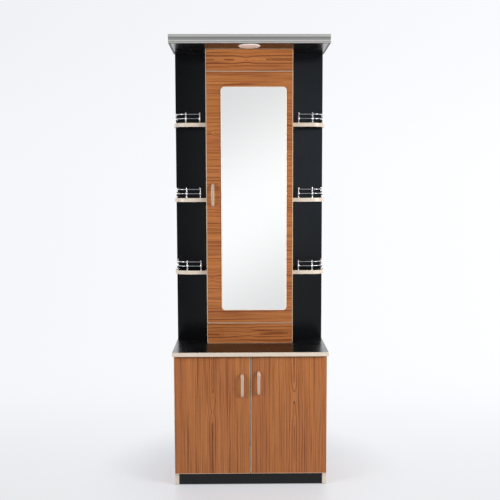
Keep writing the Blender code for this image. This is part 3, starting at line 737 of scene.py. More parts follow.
LAMINATE = {"bump": 0.1, "scale": 1100.0}
BANDING = {"bump": 0.2, "scale": 500.0, "dust": 0.06, "on_grain": True}
PRINT = Finish("wood_laminate", None, 0.40, bump=0.25, smear=0.05, dust=0.06, specular=0.4)
FINISHES = {
    "wood_upright_print": PRINT,
    "wood_level_print": PRINT,
    "black_laminate_smooth": Finish("black_laminate", "black", 0.19, smear=0.02, specular=0.35,
                                    **LAMINATE),
    "black_laminate_pearl": Finish("black_laminate", "black", 0.28, dust=0.07, smear=0.03,
                                   specular=0.36, **LAMINATE),
    "edge_band_satin": Finish("edge_band", "band", 0.38, **BANDING),
    "front_band_satin": Finish("edge_band", "front_band", 0.42, **BANDING),
    "silver_trim_satin": Finish("silver_trim", "trim", 0.60, 0.15, scale=600.0, specular=0.25),
    "chrome_plate": Finish("chrome", "chrome", 0.24, 1.0, 0.05, 700.0, 0.03),
    "satin_nickel": Finish("satin_metal", "satin", 0.40, 0.55, 0.12, 1500.0, 0.04),
    "hinge_nickel": Finish("hinge_steel", "steel", 0.26, 1.0, 0.10),
    "mirror_silver": Finish("mirror", (0.98, 0.985, 0.985), 0.012, 1.0, smear=0.004),
    "mirror_ground_edge": Finish("mirror", (0.95, 0.91, 0.86), 0.22, 0.0, 0.05, 400.0, 0.04),
    "lamp_enamel": Finish("white_housing", (0.86, 0.86, 0.85), 0.35, bump=0.1),
    "lamp_ring_gloss": Finish("white_housing", (0.97, 0.91, 0.88), 0.22, bump=0.05),
    "opal_lens": Finish("frosted_glass", "lens", 0.30, bump=0.1, scale=400.0, subsurface=0.15),
    "buffer_rubber": Finish("white_housing", (0.80, 0.80, 0.78), 0.45, bump=0.1),
    "glide_plastic": Finish("black_plastic", (0.12, 0.12, 0.12), 0.5, bump=0.3, scale=1400.0),
}


def wood_print(tree, level):
    """The wood print in the settings' colours. Boards with level grain have fewer and bolder lines;
    on boards with upright grain the same colours are a little darker, a painted shade for the
    lesser light they get."""
    # Painted shade: light is 0.95 on upright boards, which darkens the same wood colours for the
    # lesser light that falls on them
    spacing, strength, light = (0.015, 1.25, 1.0) if level else (0.011, 1.0, 0.95)
    inputs = {"Grain": node(tree, "ShaderNodeAttribute", attribute_name="grain")["Vector"],
              "Line Spacing": spacing, "Line Strength": strength}
    for label in ("Light", "Middle", "Dark", "Warm"):
        colour = getattr(chosen().finishes, f"wood_{label.lower()}")
        inputs[label] = linear(np.array(colour) * light)
    return group_node(tree, "Wood Grain", inputs)


def moulding_painted_light(tree, vector):
    """Silver of the canopy's moulding from its bottom to its top, with painted light by height:
    painted shade in the cove, in the groove and on the lower arris, and painted highlights on the
    beads and the top band.
    """
    low, high, _ = box("canopy_trim")
    share = ramp(split_axes(vector)[Z], low[Z], high[Z], smooth=False)
    painted_light_bands = node(tree, "ShaderNodeValToRGB", {"Fac": share})
    finishes = chosen().finishes
    silver, dark = np.array(finishes.trim), np.array(finishes.trim_dark)
    # Painted light: the darker stops are shade in the cove, the groove and the lower arris; the
    # lighter ones are highlights on the beads and the band
    stops = ((0.02, dark * 0.8), (0.05, silver * 1.2), (0.14, silver * 1.2), (0.16, silver * 0.88),
             (0.24, silver * 0.88), (0.26, silver * 1.3), (0.35, silver * 1.3), (0.37, dark * 1.22),
             (0.60, dark), (0.69, dark * 0.94), (0.72, silver * 1.03), (0.88, silver * 1.12),
             (0.96, silver))
    elements = painted_light_bands.source.color_ramp.elements
    while len(elements) < len(stops):
        elements.new(0.5)
    for element, (position, colour) in zip(elements, stops):
        element.position, element.color = position, linear(colour)
    return painted_light_bands


def material(name):
    """The material of a row of FINISHES, made once: its colour, with dust over it where it has any,
    and unevenness in its gloss and height."""
    if name in bpy.data.materials:
        return bpy.data.materials[name]
    finish = FINISHES[name]
    made = bpy.data.materials.new(name)
    made.use_nodes = True
    tree = made.node_tree
    if finish.on_grain:
        vector = node(tree, "ShaderNodeAttribute", attribute_name="grain")["Vector"]
    else:
        vector = node(tree, "ShaderNodeTexCoord")["Object"]
    rough = group_node(tree, "Unevenness", {"Vector": vector, "Texture Scale": finish.scale,
                                            "Roughness": finish.roughness, "Smear": finish.smear})
    height = rough["Height"]
    if finish is PRINT:
        colour = wood_print(tree, name == "wood_level_print")
        rough, height = colour["Gloss"] * 0.10 + rough, colour["Height"]
    elif finish.slot == "silver_trim":
        colour = moulding_painted_light(tree, vector)
    else:
        colour = finish.colour
        colour = linear(getattr(chosen().finishes, colour) if isinstance(colour, str) else colour)
    if finish.dust:
        colour = group_node(tree, "Dust",
                            {"Vector": vector, "Color": colour, "Amount": finish.dust})
    inputs = {"Base Color": colour, "Roughness": rough, "Metallic": finish.metallic,
              "Specular IOR Level": finish.specular, "Subsurface Weight": finish.subsurface}
    if finish.bump:
        inputs["Normal"] = node(tree, "ShaderNodeBump", {"Height": height, "Strength": finish.bump,
                                                         "Distance": RELIEF})
    put(tree.nodes["Principled BSDF"], inputs)
    return made


class UnitOperator:
    """What all the operators share."""

    bl_options = {"REGISTER", "UNDO"}


# Boards

class STYLING_UNIT_OT_base_carcass(UnitOperator, bpy.types.Operator):
    """Make the base cabinet's side boards, bottom board, front rail, shelf and plinth"""

    bl_idname = "styling_unit.base_carcass"
    bl_label = "Base Carcass"

    def execute(self, context):
        wood_board("base_side_left", X, Y, Z, (3,), seed=3.1, edge="edge_band_satin")
        wood_board("base_side_right", X, Y, Z, (3,), seed=6.4, edge="edge_band_satin")
        for number, name in enumerate(("base_bottom_board", "base_front_rail", "base_shelf")):
            wood_board(name, Z, Y, X, (0,), seed=11.0 + 1.7 * number)
        black_board("plinth_board", Y, ())
        return {"FINISHED"}


class STYLING_UNIT_OT_glides(UnitOperator, bpy.types.Operator):
    """Make the four nail-on glides under the side boards"""

    bl_idname = "styling_unit.glides"
    bl_label = "Glides"

    def execute(self, context):
        for name in (f"glide_{end}_{hand}" for end in ("front", "rear") for hand in HANDS):
            low, high, middle = box(name)
            radius, top = (high[X] - low[X]) / 2, high[Z] - low[Z]
            # Recess of the nail, sole with its rounded edge, side and top
            profile = [(0.0, 0.0006), (0.0022, 0.0006), (0.0026, 0.0), (radius - 0.001, 0.0),
                       (radius - 0.0004, 0.0004), (radius, 0.0012), (radius, top), (0.0, top)]
            make_piece(f"{name}_pad", [turned((*middle[:2], low[Z]), profile, 32)],
                       "glide_plastic", name)
        return {"FINISHED"}


class STYLING_UNIT_OT_worktop(UnitOperator, bpy.types.Operator):
    """Make the worktop, banded at its front and ends"""

    bl_idname = "styling_unit.worktop"
    bl_label = "Worktop"

    def execute(self, context):
        black_board("worktop", Z, (3, 0, 1), chosen().boards.top_band)
        return {"FINISHED"}


class STYLING_UNIT_OT_back_panel(UnitOperator, bpy.types.Operator):
    """Make the tall back panel, with black edges, and the screws that hold the boards before it"""

    bl_idname = "styling_unit.back_panel"
    bl_label = "Back Panel"

    def execute(self, context):
        name = "back_panel"
        low, high, _ = box(name)
        high[Y] -= BACK_SCREW[1]
        black_board(name, Y, (), ends=(low, high))
        places = []
        for hand in HANDS:
            for board, count in ((f"base_side_{hand}", 4), (f"tower_side_{hand}", 6)):
                start, end, middle = box(board)
                places += [(middle[X], height) for height in np.linspace(
                    start[Z] + BACK_SCREW_INSET, end[Z] - BACK_SCREW_INSET, count)]
            for level in LEVELS:
                start, end, middle = box(f"side_shelf_{hand}_{level}")
                places += [(start[X] + BACK_SCREW_INSET, middle[Z]),
                           (end[X] - BACK_SCREW_INSET, middle[Z])]
        for board in ("base_bottom_board", "tower_floor", "tower_roof"):
            places += [(place, box(board)[2][Z]) for place in BACK_SCREW_PLACES]
        screws = [screw_head((x, high[Y], z), Y, 1, *BACK_SCREW, 24) for x, z in places]
        make_piece(f"{name}_screws", screws, "hinge_nickel", name, replaces=False)
        return {"FINISHED"}


class STYLING_UNIT_OT_mirror_cabinet(UnitOperator, bpy.types.Operator):
    """Make the mirror cabinet's sides, floor, roof, inner shelves and fixed fascias"""

    bl_idname = "styling_unit.mirror_cabinet"
    bl_label = "Mirror Cabinet"

    def execute(self, context):
        wood_board("tower_side_left", X, Y, Z, (3,), seed=21.0)
        wood_board("tower_side_right", X, Y, Z, (3,), seed=24.5)
        inner = ["tower_floor", "tower_roof"] + [f"tower_shelf_{level}" for level in LEVELS]
        for number, name in enumerate(inner):
            wood_board(name, Z, Y, X, (0,), seed=31.0 + 1.3 * number)
        wood_board("bottom_fascia", Y, Z, X, ALL_SIDES, 0.672, 44.0)
        wood_board("top_fascia", Y, Z, X, ALL_SIDES, 1.946, 47.0, -0.02)
        return {"FINISHED"}


class STYLING_UNIT_OT_side_shelves(UnitOperator, bpy.types.Operator):
    """Make the six side shelves, each with one rounded corner"""

    bl_idname = "styling_unit.side_shelves"
    bl_label = "Side Shelves"

    def execute(self, context):
        for hand, sides, corner in SHELF_EDGES:
            corners = [SHELF_CORNER if index == corner else 0.0 for index in ALL_SIDES]
            for level in LEVELS:
                black_board(f"side_shelf_{hand}_{level}", Z, sides, corners=corners)
        return {"FINISHED"}


# Galleries

def post_profile():
    """A turned post. Its radius at each height is the largest of its neck, its flared foot, a full
    body at the lower rail whose radius follows a squared cosine, a ball at the upper rail with a
    bead under it, and a button at the tip."""
    height = np.concatenate([np.linspace(0, 0.006, 13), np.linspace(0.0064, GALLERY_HEIGHT, 84)])
    lower, upper = GALLERY_RAILS

    def ball(centre, radius, squash=1.0):
        return np.sqrt(np.maximum(radius ** 2 - ((height - centre) / squash) ** 2, 0.0))

    flare = np.clip(1 - (height - 0.0014) / 0.0036, 0, 1) ** 2
    swell = np.cos(np.clip((height - lower) / BODY_REACH, -1, 1) * math.pi / 2) ** 2
    radius = np.maximum.reduce([
        np.where(height < GALLERY_HEIGHT - 0.002, NECK_RADIUS, 0.0),
        NECK_RADIUS + (FOOT_RADIUS - NECK_RADIUS) * flare,
        NECK_RADIUS + (BODY_RADIUS - NECK_RADIUS) * swell ** 0.7,
        ball(upper - 0.0056, BEAD_RADIUS, 0.28), ball(lower - BODY_REACH, BEAD_RADIUS, 0.28),
        ball(upper, BALL_RADIUS * 0.95), ball(GALLERY_HEIGHT - TIP_RADIUS, TIP_RADIUS)])
    radius = np.where(height < GALLERY_HEIGHT - 1e-9, radius, 0.0)
    return [(0.0, 0.0), *zip(radius, height)]


class STYLING_UNIT_OT_galleries(UnitOperator, bpy.types.Operator):
    """Make the six galleries: two rails through four turned posts on each side shelf"""

    bl_idname = "styling_unit.galleries"
    bl_label = "Galleries"

    def execute(self, context):
        profile = post_profile()
        rear = box("back_panel")[0][Y] - GALLERY_REAR_INSET
        for hand, sides, corner in SHELF_EDGES:
            radii = [SHELF_CORNER - GALLERY_INSET if index == corner else 0.0
                     for index in ALL_SIDES]
            before, after = ((GALLERY_INSET, GALLERY_START) if hand == "left"
                             else (GALLERY_START, GALLERY_INSET))
            for level in LEVELS:
                low, high, _ = box(f"side_shelf_{hand}_{level}")
                name = f"gallery_{hand}_{level}"
                base = box(name)[0][Z]
                outline = rectangle_path((low[X] + before, low[Y] + GALLERY_INSET),
                                         (high[X] - after, rear), radii, sides)
                rounds = [arc((0.0, base + rail), (RAIL_RADIUS,) * 2, 0, 330, 12)
                          for rail in GALLERY_RAILS]
                make_piece(f"{name}_rails", [surface(carried(outline, ring, Z)) for ring in rounds],
                           "chrome_plate", name)
                # Posts stand at the rails' ends and where their bend begins and ends
                posts = [turned((x, y, base), profile, 20) for x, y in outline[0][[0, -1, 2, -3]]]
                make_piece(f"{name}_posts", posts, "chrome_plate", name)
        return {"FINISHED"}


# Canopy and lamp

def trim_section(low, high, depth):
    """Section of the canopy's moulding as a closed loop of (inset, height): two half-round beads, a
    cove whose inset is its depth times cos t, a flat band with a rounded top, and a plain back."""
    beads = [arc((BEAD_RISE, start + BEAD_RISE), (BEAD_SWELL, BEAD_RISE), -90, -270, 9)
             for start in (low, low + BEAD_PITCH)]
    cove = arc((0.0, low + COVE_BOTTOM), (COVE_DEPTH, COVE_HEIGHT), 0, 90, 13)
    top = arc((TRIM_ROUNDING, high - TRIM_ROUNDING), (TRIM_ROUNDING,) * 2, 180, 90, 7)
    return np.concatenate([[(depth, low)], *beads, cove, [(0.0, low + COVE_TOP)], top,
                           [(depth, high)]])


def canopy_board_surface(low, high, lamp, recess, roof):
    """The canopy board with the round recess for its lamp, turned about the lamp.

    Rows go from the recess's roof out to its mouth, along the underside to the board's edge, up and
    back over the top. The edge lies where a ray at angle t meets the rectangle.
    """
    near, far = low[:2] - lamp[:2], high[:2] - lamp[:2]
    corners = [math.atan2(y, x) for x in (near[X], far[X]) for y in (near[Y], far[Y])]
    turn = np.unique(np.concatenate([np.linspace(0, FULL_TURN, 96, endpoint=False),
                                     np.mod(corners, FULL_TURN)]))
    edge = to_rectangle(turn, near, far)
    rows = [(0.0, roof), (recess, roof), (recess, low[Z]), (recess + 0.010, low[Z]), (edge, low[Z]),
            (edge, high[Z]), (recess, high[Z]), (0.0, high[Z])]
    return turned((*lamp[:2], 0.0), rows, turn)


class STYLING_UNIT_OT_canopy(UnitOperator, bpy.types.Operator):
    """Make the canopy board and the moulded trim on its front and ends"""

    bl_idname = "styling_unit.canopy"
    bl_label = "Canopy"

    def execute(self, context):
        low, high, _ = box("canopy_board")
        lamp_low, lamp_high, lamp = box("downlight_housing")
        board = canopy_board_surface(low, high, lamp, (lamp_high - lamp_low)[X] / 2 + CLEARANCE,
                                     lamp_high[Z] + CLEARANCE)
        make_piece("canopy_board_laminate", [board], "black_laminate_pearl", "canopy_board")
        board_front = low[Y]
        low, high, _ = box("canopy_trim")
        depth = board_front - low[Y]
        front = straight_path((low[X], low[Y]), (high[X], low[Y]), (0.0, -1.0))
        make_piece("canopy_trim_front",
                   [surface(carried(front, trim_section(low[Z], high[Z], depth), Z))],
                   "silver_trim_satin", "canopy_trim")
        section = np.concatenate([[(depth, low[Z])], arris_section(low[Z], high[Z], TRIM_END_ARRIS),
                                  [(depth, high[Z])]])
        ends = [surface(carried(straight_path((x, board_front + 0.0001), (x, high[Y]), (way, 0.0)),
                                section, Z)) for x, way in ((low[X], -1.0), (high[X], 1.0))]
        make_piece("canopy_trim_ends", ends, "silver_trim_satin", "canopy_trim")
        return {"FINISHED"}


class STYLING_UNIT_OT_downlight(UnitOperator, bpy.types.Operator):
    """Make the downlight's housing, stepped ring and opal lens"""

    bl_idname = "styling_unit.downlight"
    bl_label = "Downlight"

    def execute(self, context):
        low, high, middle = box("downlight_housing")
        centre = (*middle[:2], 0.0)
        outer, roof = (high[X] - low[X]) / 2, high[Z] - HOUSING_WALL
        bore = outer - HOUSING_WALL
        # Inside of the roof and the wall, mouth, outside of the wall and the roof
        housing = [(0.0, roof), (bore, roof), (bore, low[Z]), (outer, low[Z]), (outer, high[Z]),
                   (0.0, high[Z])]
        make_piece("downlight_can", [turned(centre, housing, 64)], "lamp_enamel",
                   "downlight_housing")
        low, high, _ = box("downlight_ring")
        rim, face = (high[X] - low[X]) / 2, low[Z] + 0.0004
        # Inner wall with its bevel, and the step down to the rim
        step = [(bore, high[Z]), (bore, low[Z] + 0.0012), (bore + 0.0012, face),
                (bore + 0.0026, face), (bore + 0.0032, low[Z])]
        roll = arc((rim - RING_ROLL, low[Z] + RING_ROLL), (RING_ROLL,) * 2, -90, 0, 9)
        ring = np.concatenate([step, roll, [(rim, high[Z])]])
        make_piece("downlight_bezel", [turned(centre, ring, 96, wrap=True)], "lamp_ring_gloss",
                   "downlight_ring")
        low, high, _ = box("downlight_lens")
        edge, reach = (high[X] - low[X]) / 2, np.linspace(0, 1, 13)
        body = [*zip(edge * reach, low[Z] + LENS_RISE * reach ** 3), (edge, high[Z]),
                (0.0, high[Z])]
        make_piece("downlight_diffuser", [turned(centre, body, 72)], "opal_lens", "downlight_lens")
        return {"FINISHED"}


# Doors and what is on them

def make_door(door):
    """A door banded all round, with the bores of its hinge cups cut into its back."""
    grain = door.across, door.along, door.centre, door.seed, door.start
    board = wood_board(door.name, Y, *grain[:2], ALL_SIDES, *grain[2:], chosen().boards.door_band)
    rear = box(door.name)[1][Y]
    for level in door.levels:
        low, high, middle = box(f"hinge_cup_{door.hinges}_{level}")
        radius, depth = (high[X] - low[X]) / 2 + CLEARANCE, rear - low[Y]
        bore = turned((middle[X], rear, middle[Z]),
                      [(0.0, -depth), (radius, -depth), (radius, depth), (0.0, depth)], 64, Y)
        cutter = linked("bore", joined_mesh("bore", [bore]))
        modifier = board.modifiers.new("bore", "BOOLEAN")
        modifier.object, modifier.operation, modifier.solver = cutter, "DIFFERENCE", "EXACT"
        cut = bpy.data.meshes.new_from_object(
            board.evaluated_get(bpy.context.evaluated_depsgraph_get()))
        board.modifiers.clear()
        board.data = cut
        bpy.data.objects.remove(cutter, do_unlink=True)
    shade(board.data)
    store_grain(board, along_board(*grain))


def powered(value, power):
    """The size of a value to a power, with the value's sign."""
    return np.sign(value) * np.abs(value) ** power


def handle_surface(low, high, middle):
    """A bow handle. Its outer and inner curves are half superellipses of power 2.5 over the same
    angle t, and its section between them is a superellipse of power 5, across its width."""
    half, reach = (high[Z] - low[Z]) / 2, high[Y] - low[Y]
    t = np.linspace(0, math.pi, 65)[:, None]
    s = np.linspace(0, FULL_TURN, 28, endpoint=False)
    rise, run = np.sin(t) ** (2 / 2.5), powered(np.cos(t), 2 / 2.5)
    outer = np.stack([-reach * rise, half * run], -1)
    inner = np.stack([-(reach - HANDLE_THICKNESS) * rise, (half - HANDLE_FOOT) * run], -1)
    side = (outer + inner) / 2 + (outer - inner) / 2 * powered(np.cos(s), 2 / 5)[:, None]
    points = np.empty((len(t), len(s), 3))
    points[..., X] = middle[X] + HANDLE_WIDTH / 2 * powered(np.sin(s), 2 / 5)
    points[..., Y] = high[Y] + side[..., 0]
    points[..., Z] = middle[Z] + side[..., 1]
    return surface(points)


def hinge_cup(name):
    """A pressed hinge cup with its flange and two screws, turned about the cup's axis: the flange's
    edge is the larger of the cup's radius and a tab's outline."""
    low, high, middle = box(name)
    centre = (middle[X], high[Y], middle[Z])
    radius, tall = (high[X] - low[X]) / 2, (high[Z] - low[Z]) / 2
    turn = np.linspace(0, FULL_TURN, 96, endpoint=False)
    edge = np.maximum(radius, to_rectangle(turn, (-TAB_HALF, -tall), (TAB_HALF, tall)))
    plug, floor = radius - 0.0002, low[Y] - high[Y]
    bore, inner_floor = plug - CUP_WALL, floor + CUP_WALL
    # Floor and wall from outside, flange from behind and from the front, wall and floor from inside
    rows = [(0.0, floor), (plug - 0.001, floor), (plug, floor + 0.001), (plug, -CUP_FLANGE),
            (edge, -CUP_FLANGE), (edge, -0.0003), (edge - 0.0003, 0.0), (bore + 0.0006, 0.0),
            (bore, -0.0006), (bore, inner_floor + 0.002), (bore - 0.002, inner_floor),
            (0.0, inner_floor)]
    screws = [screw_head((middle[X], high[Y] - 0.0004, middle[Z] + offset), Y, 1, *CUP_SCREW)
              for offset in (-CUP_SCREW_OFFSET, CUP_SCREW_OFFSET)]
    make_piece(f"{name}_pressing", [turned(centre, rows, turn, Y)] + screws, "hinge_nickel", name)


def hinge_arm(name, sign):
    """A hinge arm on its mounting plate, with adjusting screws. sign is its side board's side."""
    low, high, middle = box(name)
    wall, deep = (high if sign > 0 else low)[X], high[X] - low[X]
    front = low[Y] + PLATE_FRONT
    rear = front + PLATE_LENGTH

    def block(near, far, y0, y1, half, arris, corner):
        """A slab between two depths, counted from the side board's face."""
        x0, x1 = sorted((wall - sign * near, wall - sign * far))
        return slab((x0, y0, middle[Z] - half), (x1, y1, middle[Z] + half), X, arris, corner)

    def screw(depth, y, offset, size):
        """A screw that stands on a surface at a depth."""
        return screw_head((wall - sign * depth, y, middle[Z] + offset), X, -sign, *size)

    # Mounting plate, the ridge on it, and the arm over the ridge
    parts = [block(0.0, PLATE_BASE, front, rear, PLATE_HALF, 0.0004, 0.006),
             block(PLATE_BASE, PLATE_THICK, front + 0.004, rear, RIDGE_HALF, 0.0005, 0.003),
             block(ARM_GAP, deep, low[Y], high[Y], ARM_HALF, 0.0012, 0.003)]
    parts += [screw(PLATE_BASE, (front + rear) / 2, offset, PLATE_SCREW)
              for offset in (-PLATE_SCREW_OFFSET, PLATE_SCREW_OFFSET)]
    parts += [screw(deep - 0.0004, high[Y] - back, 0.0, ARM_SCREW) for back in ARM_SCREW_PLACES]
    make_piece(f"{name}_assembly", parts, "hinge_nickel", name)


class STYLING_UNIT_OT_doors(UnitOperator, bpy.types.Operator):
    """Make the two base doors, with upright grain, and the mirror door, with level grain"""

    bl_idname = "styling_unit.doors"
    bl_label = "Doors"

    def execute(self, context):
        for door in DOORS:
            make_door(door)
        return {"FINISHED"}


class STYLING_UNIT_OT_mirror_glass(UnitOperator, bpy.types.Operator):
    """Make the silvered glass and its ground rim"""

    bl_idname = "styling_unit.mirror_glass"
    bl_label = "Mirror Glass"

    def execute(self, context):
        name = "mirror_glass"
        low, high, _ = box(name)
        outline = rectangle_path(low[[X, Z]], high[[X, Z]], (MIRROR_CORNER,) * 4)
        front = prism(outline, [(MIRROR_RIM, high[Y]), (MIRROR_RIM, low[Y])], Y)
        make_piece(f"{name}_silver", [front], "mirror_silver", name)
        rounded = arc((MIRROR_RIM, low[Y] + MIRROR_RIM_DROP), (MIRROR_RIM, MIRROR_RIM_DROP),
                      -180, -90, 7)
        rim = np.concatenate([[(MIRROR_RIM, high[Y]), (0.0, high[Y])], rounded])
        make_piece(f"{name}_rim", [surface(carried(outline, rim, Y), wrap_rows=True)],
                   "mirror_ground_edge", name)
        return {"FINISHED"}


class STYLING_UNIT_OT_handles(UnitOperator, bpy.types.Operator):
    """Make the three bow handles and the screws that hold them from behind"""

    bl_idname = "styling_unit.handles"
    bl_label = "Handles"

    def execute(self, context):
        for door in DOORS:
            x, _, z = box(door.handle)[2]
            screws = [screw_head((x, box(door.name)[1][Y], z + offset), Y, 1, *HANDLE_SCREW)
                      for offset in (-SCREW_PITCH / 2, SCREW_PITCH / 2)]
            make_piece(f"{door.handle}_bow", [handle_surface(*box(door.handle))], "satin_nickel",
                       door.handle)
            make_piece(f"{door.handle}_screws", screws, "hinge_nickel", door.handle)
        return {"FINISHED"}


class STYLING_UNIT_OT_hinges(UnitOperator, bpy.types.Operator):
    """Make the seven concealed hinges: a cup on the door, and an arm and plate on the side board"""

    bl_idname = "styling_unit.hinges"
    bl_label = "Hinges"

    def execute(self, context):
        for door in DOORS:
            for level in door.levels:
                hinge_cup(f"hinge_cup_{door.hinges}_{level}")
                hinge_arm(f"hinge_arm_{door.hinges}_{level}", door.side)
        return {"FINISHED"}


class STYLING_UNIT_OT_fittings(UnitOperator, bpy.types.Operator):
    """Make the supports under the loose shelves, and the soft buffers behind the doors"""

    bl_idname = "styling_unit.fittings"
    bl_label = "Fittings"

    def execute(self, context):
        blunt = PIN_RADIUS - PIN_ROUNDING
        for shelf, side in [("base_shelf", "base_side")] + [
                (f"tower_shelf_{level}", "tower_side") for level in LEVELS]:
            low, high, _ = box(shelf)
            parts = []
            for face, sign in ((box(f"{side}_left")[1][X], 1), (box(f"{side}_right")[0][X], -1)):
                pin = [(0.0, 0.0), (PIN_RADIUS, 0.0), (PIN_RADIUS, sign * blunt),
                       (blunt, sign * PIN_RADIUS), (0.0, sign * PIN_RADIUS)]
                for place in (low[Y] + SUPPORT_INSET, high[Y] - SUPPORT_INSET):
                    # The bracket's level leaf under the shelf, and its upright leaf on the board
                    for thin, reach, drop in ((Z, BRACKET_REACH, BRACKET_THICK),
                                              (X, BRACKET_THICK, BRACKET_DROP)):
                        start, end = sorted((face, face + sign * reach))
                        parts.append(slab((start, place - BRACKET_HALF, low[Z] - drop),
                                          (end, place + BRACKET_HALF, low[Z]), thin,
                                          BRACKET_ARRIS))
                    parts.append(turned((face, place, low[Z] - PIN_DROP), pin, 24, X))
            make_piece(f"{shelf}_supports", parts, "hinge_nickel", shelf, replaces=False)
        # A buffer is upright for part of its height, then round to a flat top
        dome = arc((BUFFER_RADIUS * 0.72, BUFFER_HEIGHT * 0.35),
                   (BUFFER_RADIUS * 0.28, BUFFER_HEIGHT * 0.65), 0, 90, 8)
        profile = [(0.0, 0.0), (BUFFER_RADIUS, 0.0), *dome, (0.0, BUFFER_HEIGHT)]
        base = [box(board)[2][Z] for board in ("base_bottom_board", "base_front_rail")]
        start, end, _ = box("mirror_door")
        for door, place, heights in (
                ("base_door_left", box("base_door_left")[1][X] - BUFFER_INSET, base),
                ("base_door_right", box("base_door_right")[0][X] + BUFFER_INSET, base),
                ("mirror_door", box("tower_side_left")[2][X],
                 (start[Z] + BUFFER_MARGIN, end[Z] - BUFFER_MARGIN))):
            rear = box(door)[1][Y]
            parts = [turned((place, rear, height), profile, 32, Y) for height in heights]
            make_piece(f"{door}_buffers", parts, "buffer_rubber", door, replaces=False)
        return {"FINISHED"}


# Stage

def pale_stage_material():
    """Pale, faintly glossy floor. Near the unit it takes the unit's shadow. Away from it, what the
    camera, a mirror and glass see of it turns into the backdrop's own light, so that it has no
    edge. Glossy finishes see the wall behind the unit brighter than the camera does, as lit
    backdrops are. It is clear from outside, and to reflections where it lies behind the camera."""
    settings = chosen().stage
    made = bpy.data.materials.new("pale_stage")
    made.use_nodes = True
    tree = made.node_tree
    shader = tree.nodes["Principled BSDF"]
    put(shader, {"Base Color": linear(settings.floor), "Roughness": 0.42})
    rays = node(tree, "ShaderNodeLightPath")
    place = node(tree, "ShaderNodeTexCoord")["Object"]
    x, y, z = split_axes(place)
    apart = node(tree, "ShaderNodeVectorMath", {0: place}, operation="LENGTH")["Value"]

    # Light of the backdrop: up the wall, across it, out to white, behind the camera, in reflections
    light = ramp(y, -0.6, 1.9) * 0.13 + 0.87
    light = ramp(z, 1.3, 3.0) * -0.045 + light
    light = light + (ramp(x, -2.1, 2.1, smooth=False) * 0.084 - 0.042)
    light = ramp(apart, 3.9, 9.5) * (1.0 - light) + light
    light = largest(light, ramp(y, -0.8, -5.0))
    light = light * (ramp(y, 0.9, 2.0) * rays["Is Glossy Ray"] * 0.8 + 1.0)
    glow = node(tree, "ShaderNodeEmission", {"Color": linear(settings.backdrop), "Strength": light})

    share = ramp(apart, 0.32, 0.85) * 0.60 + 0.40
    seen = maths("ADD", rays["Is Camera Ray"], rays["Is Glossy Ray"], clamp=True)
    seen = maths("ADD", seen, rays["Is Transmission Ray"], clamp=True)
    mixed = node(tree, "ShaderNodeMixShader", {0: seen * share, 1: Socket(shader), 2: glow})
    beyond = maths("LESS_THAN", y, -3.0) * rays["Is Glossy Ray"]
    clear = largest(beyond, node(tree, "ShaderNodeNewGeometry")["Backfacing"])
    shown = node(tree, "ShaderNodeMixShader",
                 {0: clear, 1: mixed, 2: node(tree, "ShaderNodeBsdfTransparent")})
    put(tree.nodes["Material Output"], {"Surface": shown})
    return made


def add_softbox(name, power, azimuth, colour):
    """A wide softbox that looks at the unit's middle, from an azimuth round from the front."""
    light = bpy.data.lights.new(name, "AREA")
    light.energy, light.color, light.shape = power, colour, "RECTANGLE"
    light.size, light.size_y = SOFTBOX_SIZE
    lamp = linked(name, light)
    side, up = math.radians(azimuth), math.radians(SOFTBOX_ELEVATION)
    away = np.array([math.sin(side) * math.cos(up), -math.cos(side) * math.cos(up), math.sin(up)])
    lamp.location = np.array(UNIT_MIDDLE) + SOFTBOX_DISTANCE * away
    lamp.rotation_euler = (math.pi / 2 - up, 0.0, side)


def make_world(scene, settings):
    """Even pale light from all round. The camera sees the backdrop's colour. Mirrors and glossy
    finishes see white behind the unit, a pale room in front of it, and straight in front of it a
    dim opening with a pale screen, brightest along a slanting band, and a bluish window on its
    right. With u and v the slopes of a ray to the side and upwards, the band is where
    v + 0.03 - 0.5 (u - 0.016) is small.
    """
    world = scene.world = bpy.data.worlds.new("studio")
    world.use_nodes = True
    tree = world.node_tree
    ambient = tree.nodes["Background"]
    put(ambient, {"Color": (0.95, 0.97, 1.0, 1.0), "Strength": settings.ambient})
    shown = node(tree, "ShaderNodeBackground",
                 {"Color": linear(settings.backdrop), "Strength": 1.0})
    x, y, z = split_axes(node(tree, "ShaderNodeTexCoord")["Generated"])
    ahead = largest(y * -1.0, 0.001)
    off, rise = x / ahead - 0.016, z / ahead
    slant = size(off * -0.5 + (rise + 0.03))
    on_screen = ramp(size(off), 0.062, 0.046) * ramp(slant, 0.30, 0.20)
    screen = (ramp(slant, 0.01, 0.18) * -0.27 + 1.03) * on_screen
    level = ramp(size(rise - 0.04), 0.24, 0.0)
    window = ramp(off, 0.046, 0.062) * ramp(off, 0.30, 0.14) * (level * 1.1 + 0.15)
    opening = level * 0.08 + 0.02 + window
    zone = ramp(size(x / ahead), 0.42, 0.30) * ramp(size(rise), 0.60, 0.45)
    room = largest(ramp(z, -0.3, 0.6) * 0.3 + 0.55, ramp(y, -0.12, 0.12))
    value = node(tree, "ShaderNodeMix", {0: zone, 2: room, 3: largest(screen, opening)})
    colour = blended(zone * (1.0 - on_screen), (0.99, 0.995, 1.0, 1.0), (0.65, 0.81, 1.0, 1.0))
    mirrored = node(tree, "ShaderNodeBackground", {"Color": colour, "Strength": value})
    rays = node(tree, "ShaderNodeLightPath")
    first = node(tree, "ShaderNodeMixShader",
                 {0: rays["Is Camera Ray"], 1: Socket(ambient), 2: shown})
    seen = maths("ADD", rays["Is Glossy Ray"], rays["Is Transmission Ray"], clamp=True)
    put(tree.nodes["World Output"],
        {"Surface": node(tree, "ShaderNodeMixShader", {0: seen, 1: first, 2: mirrored})})


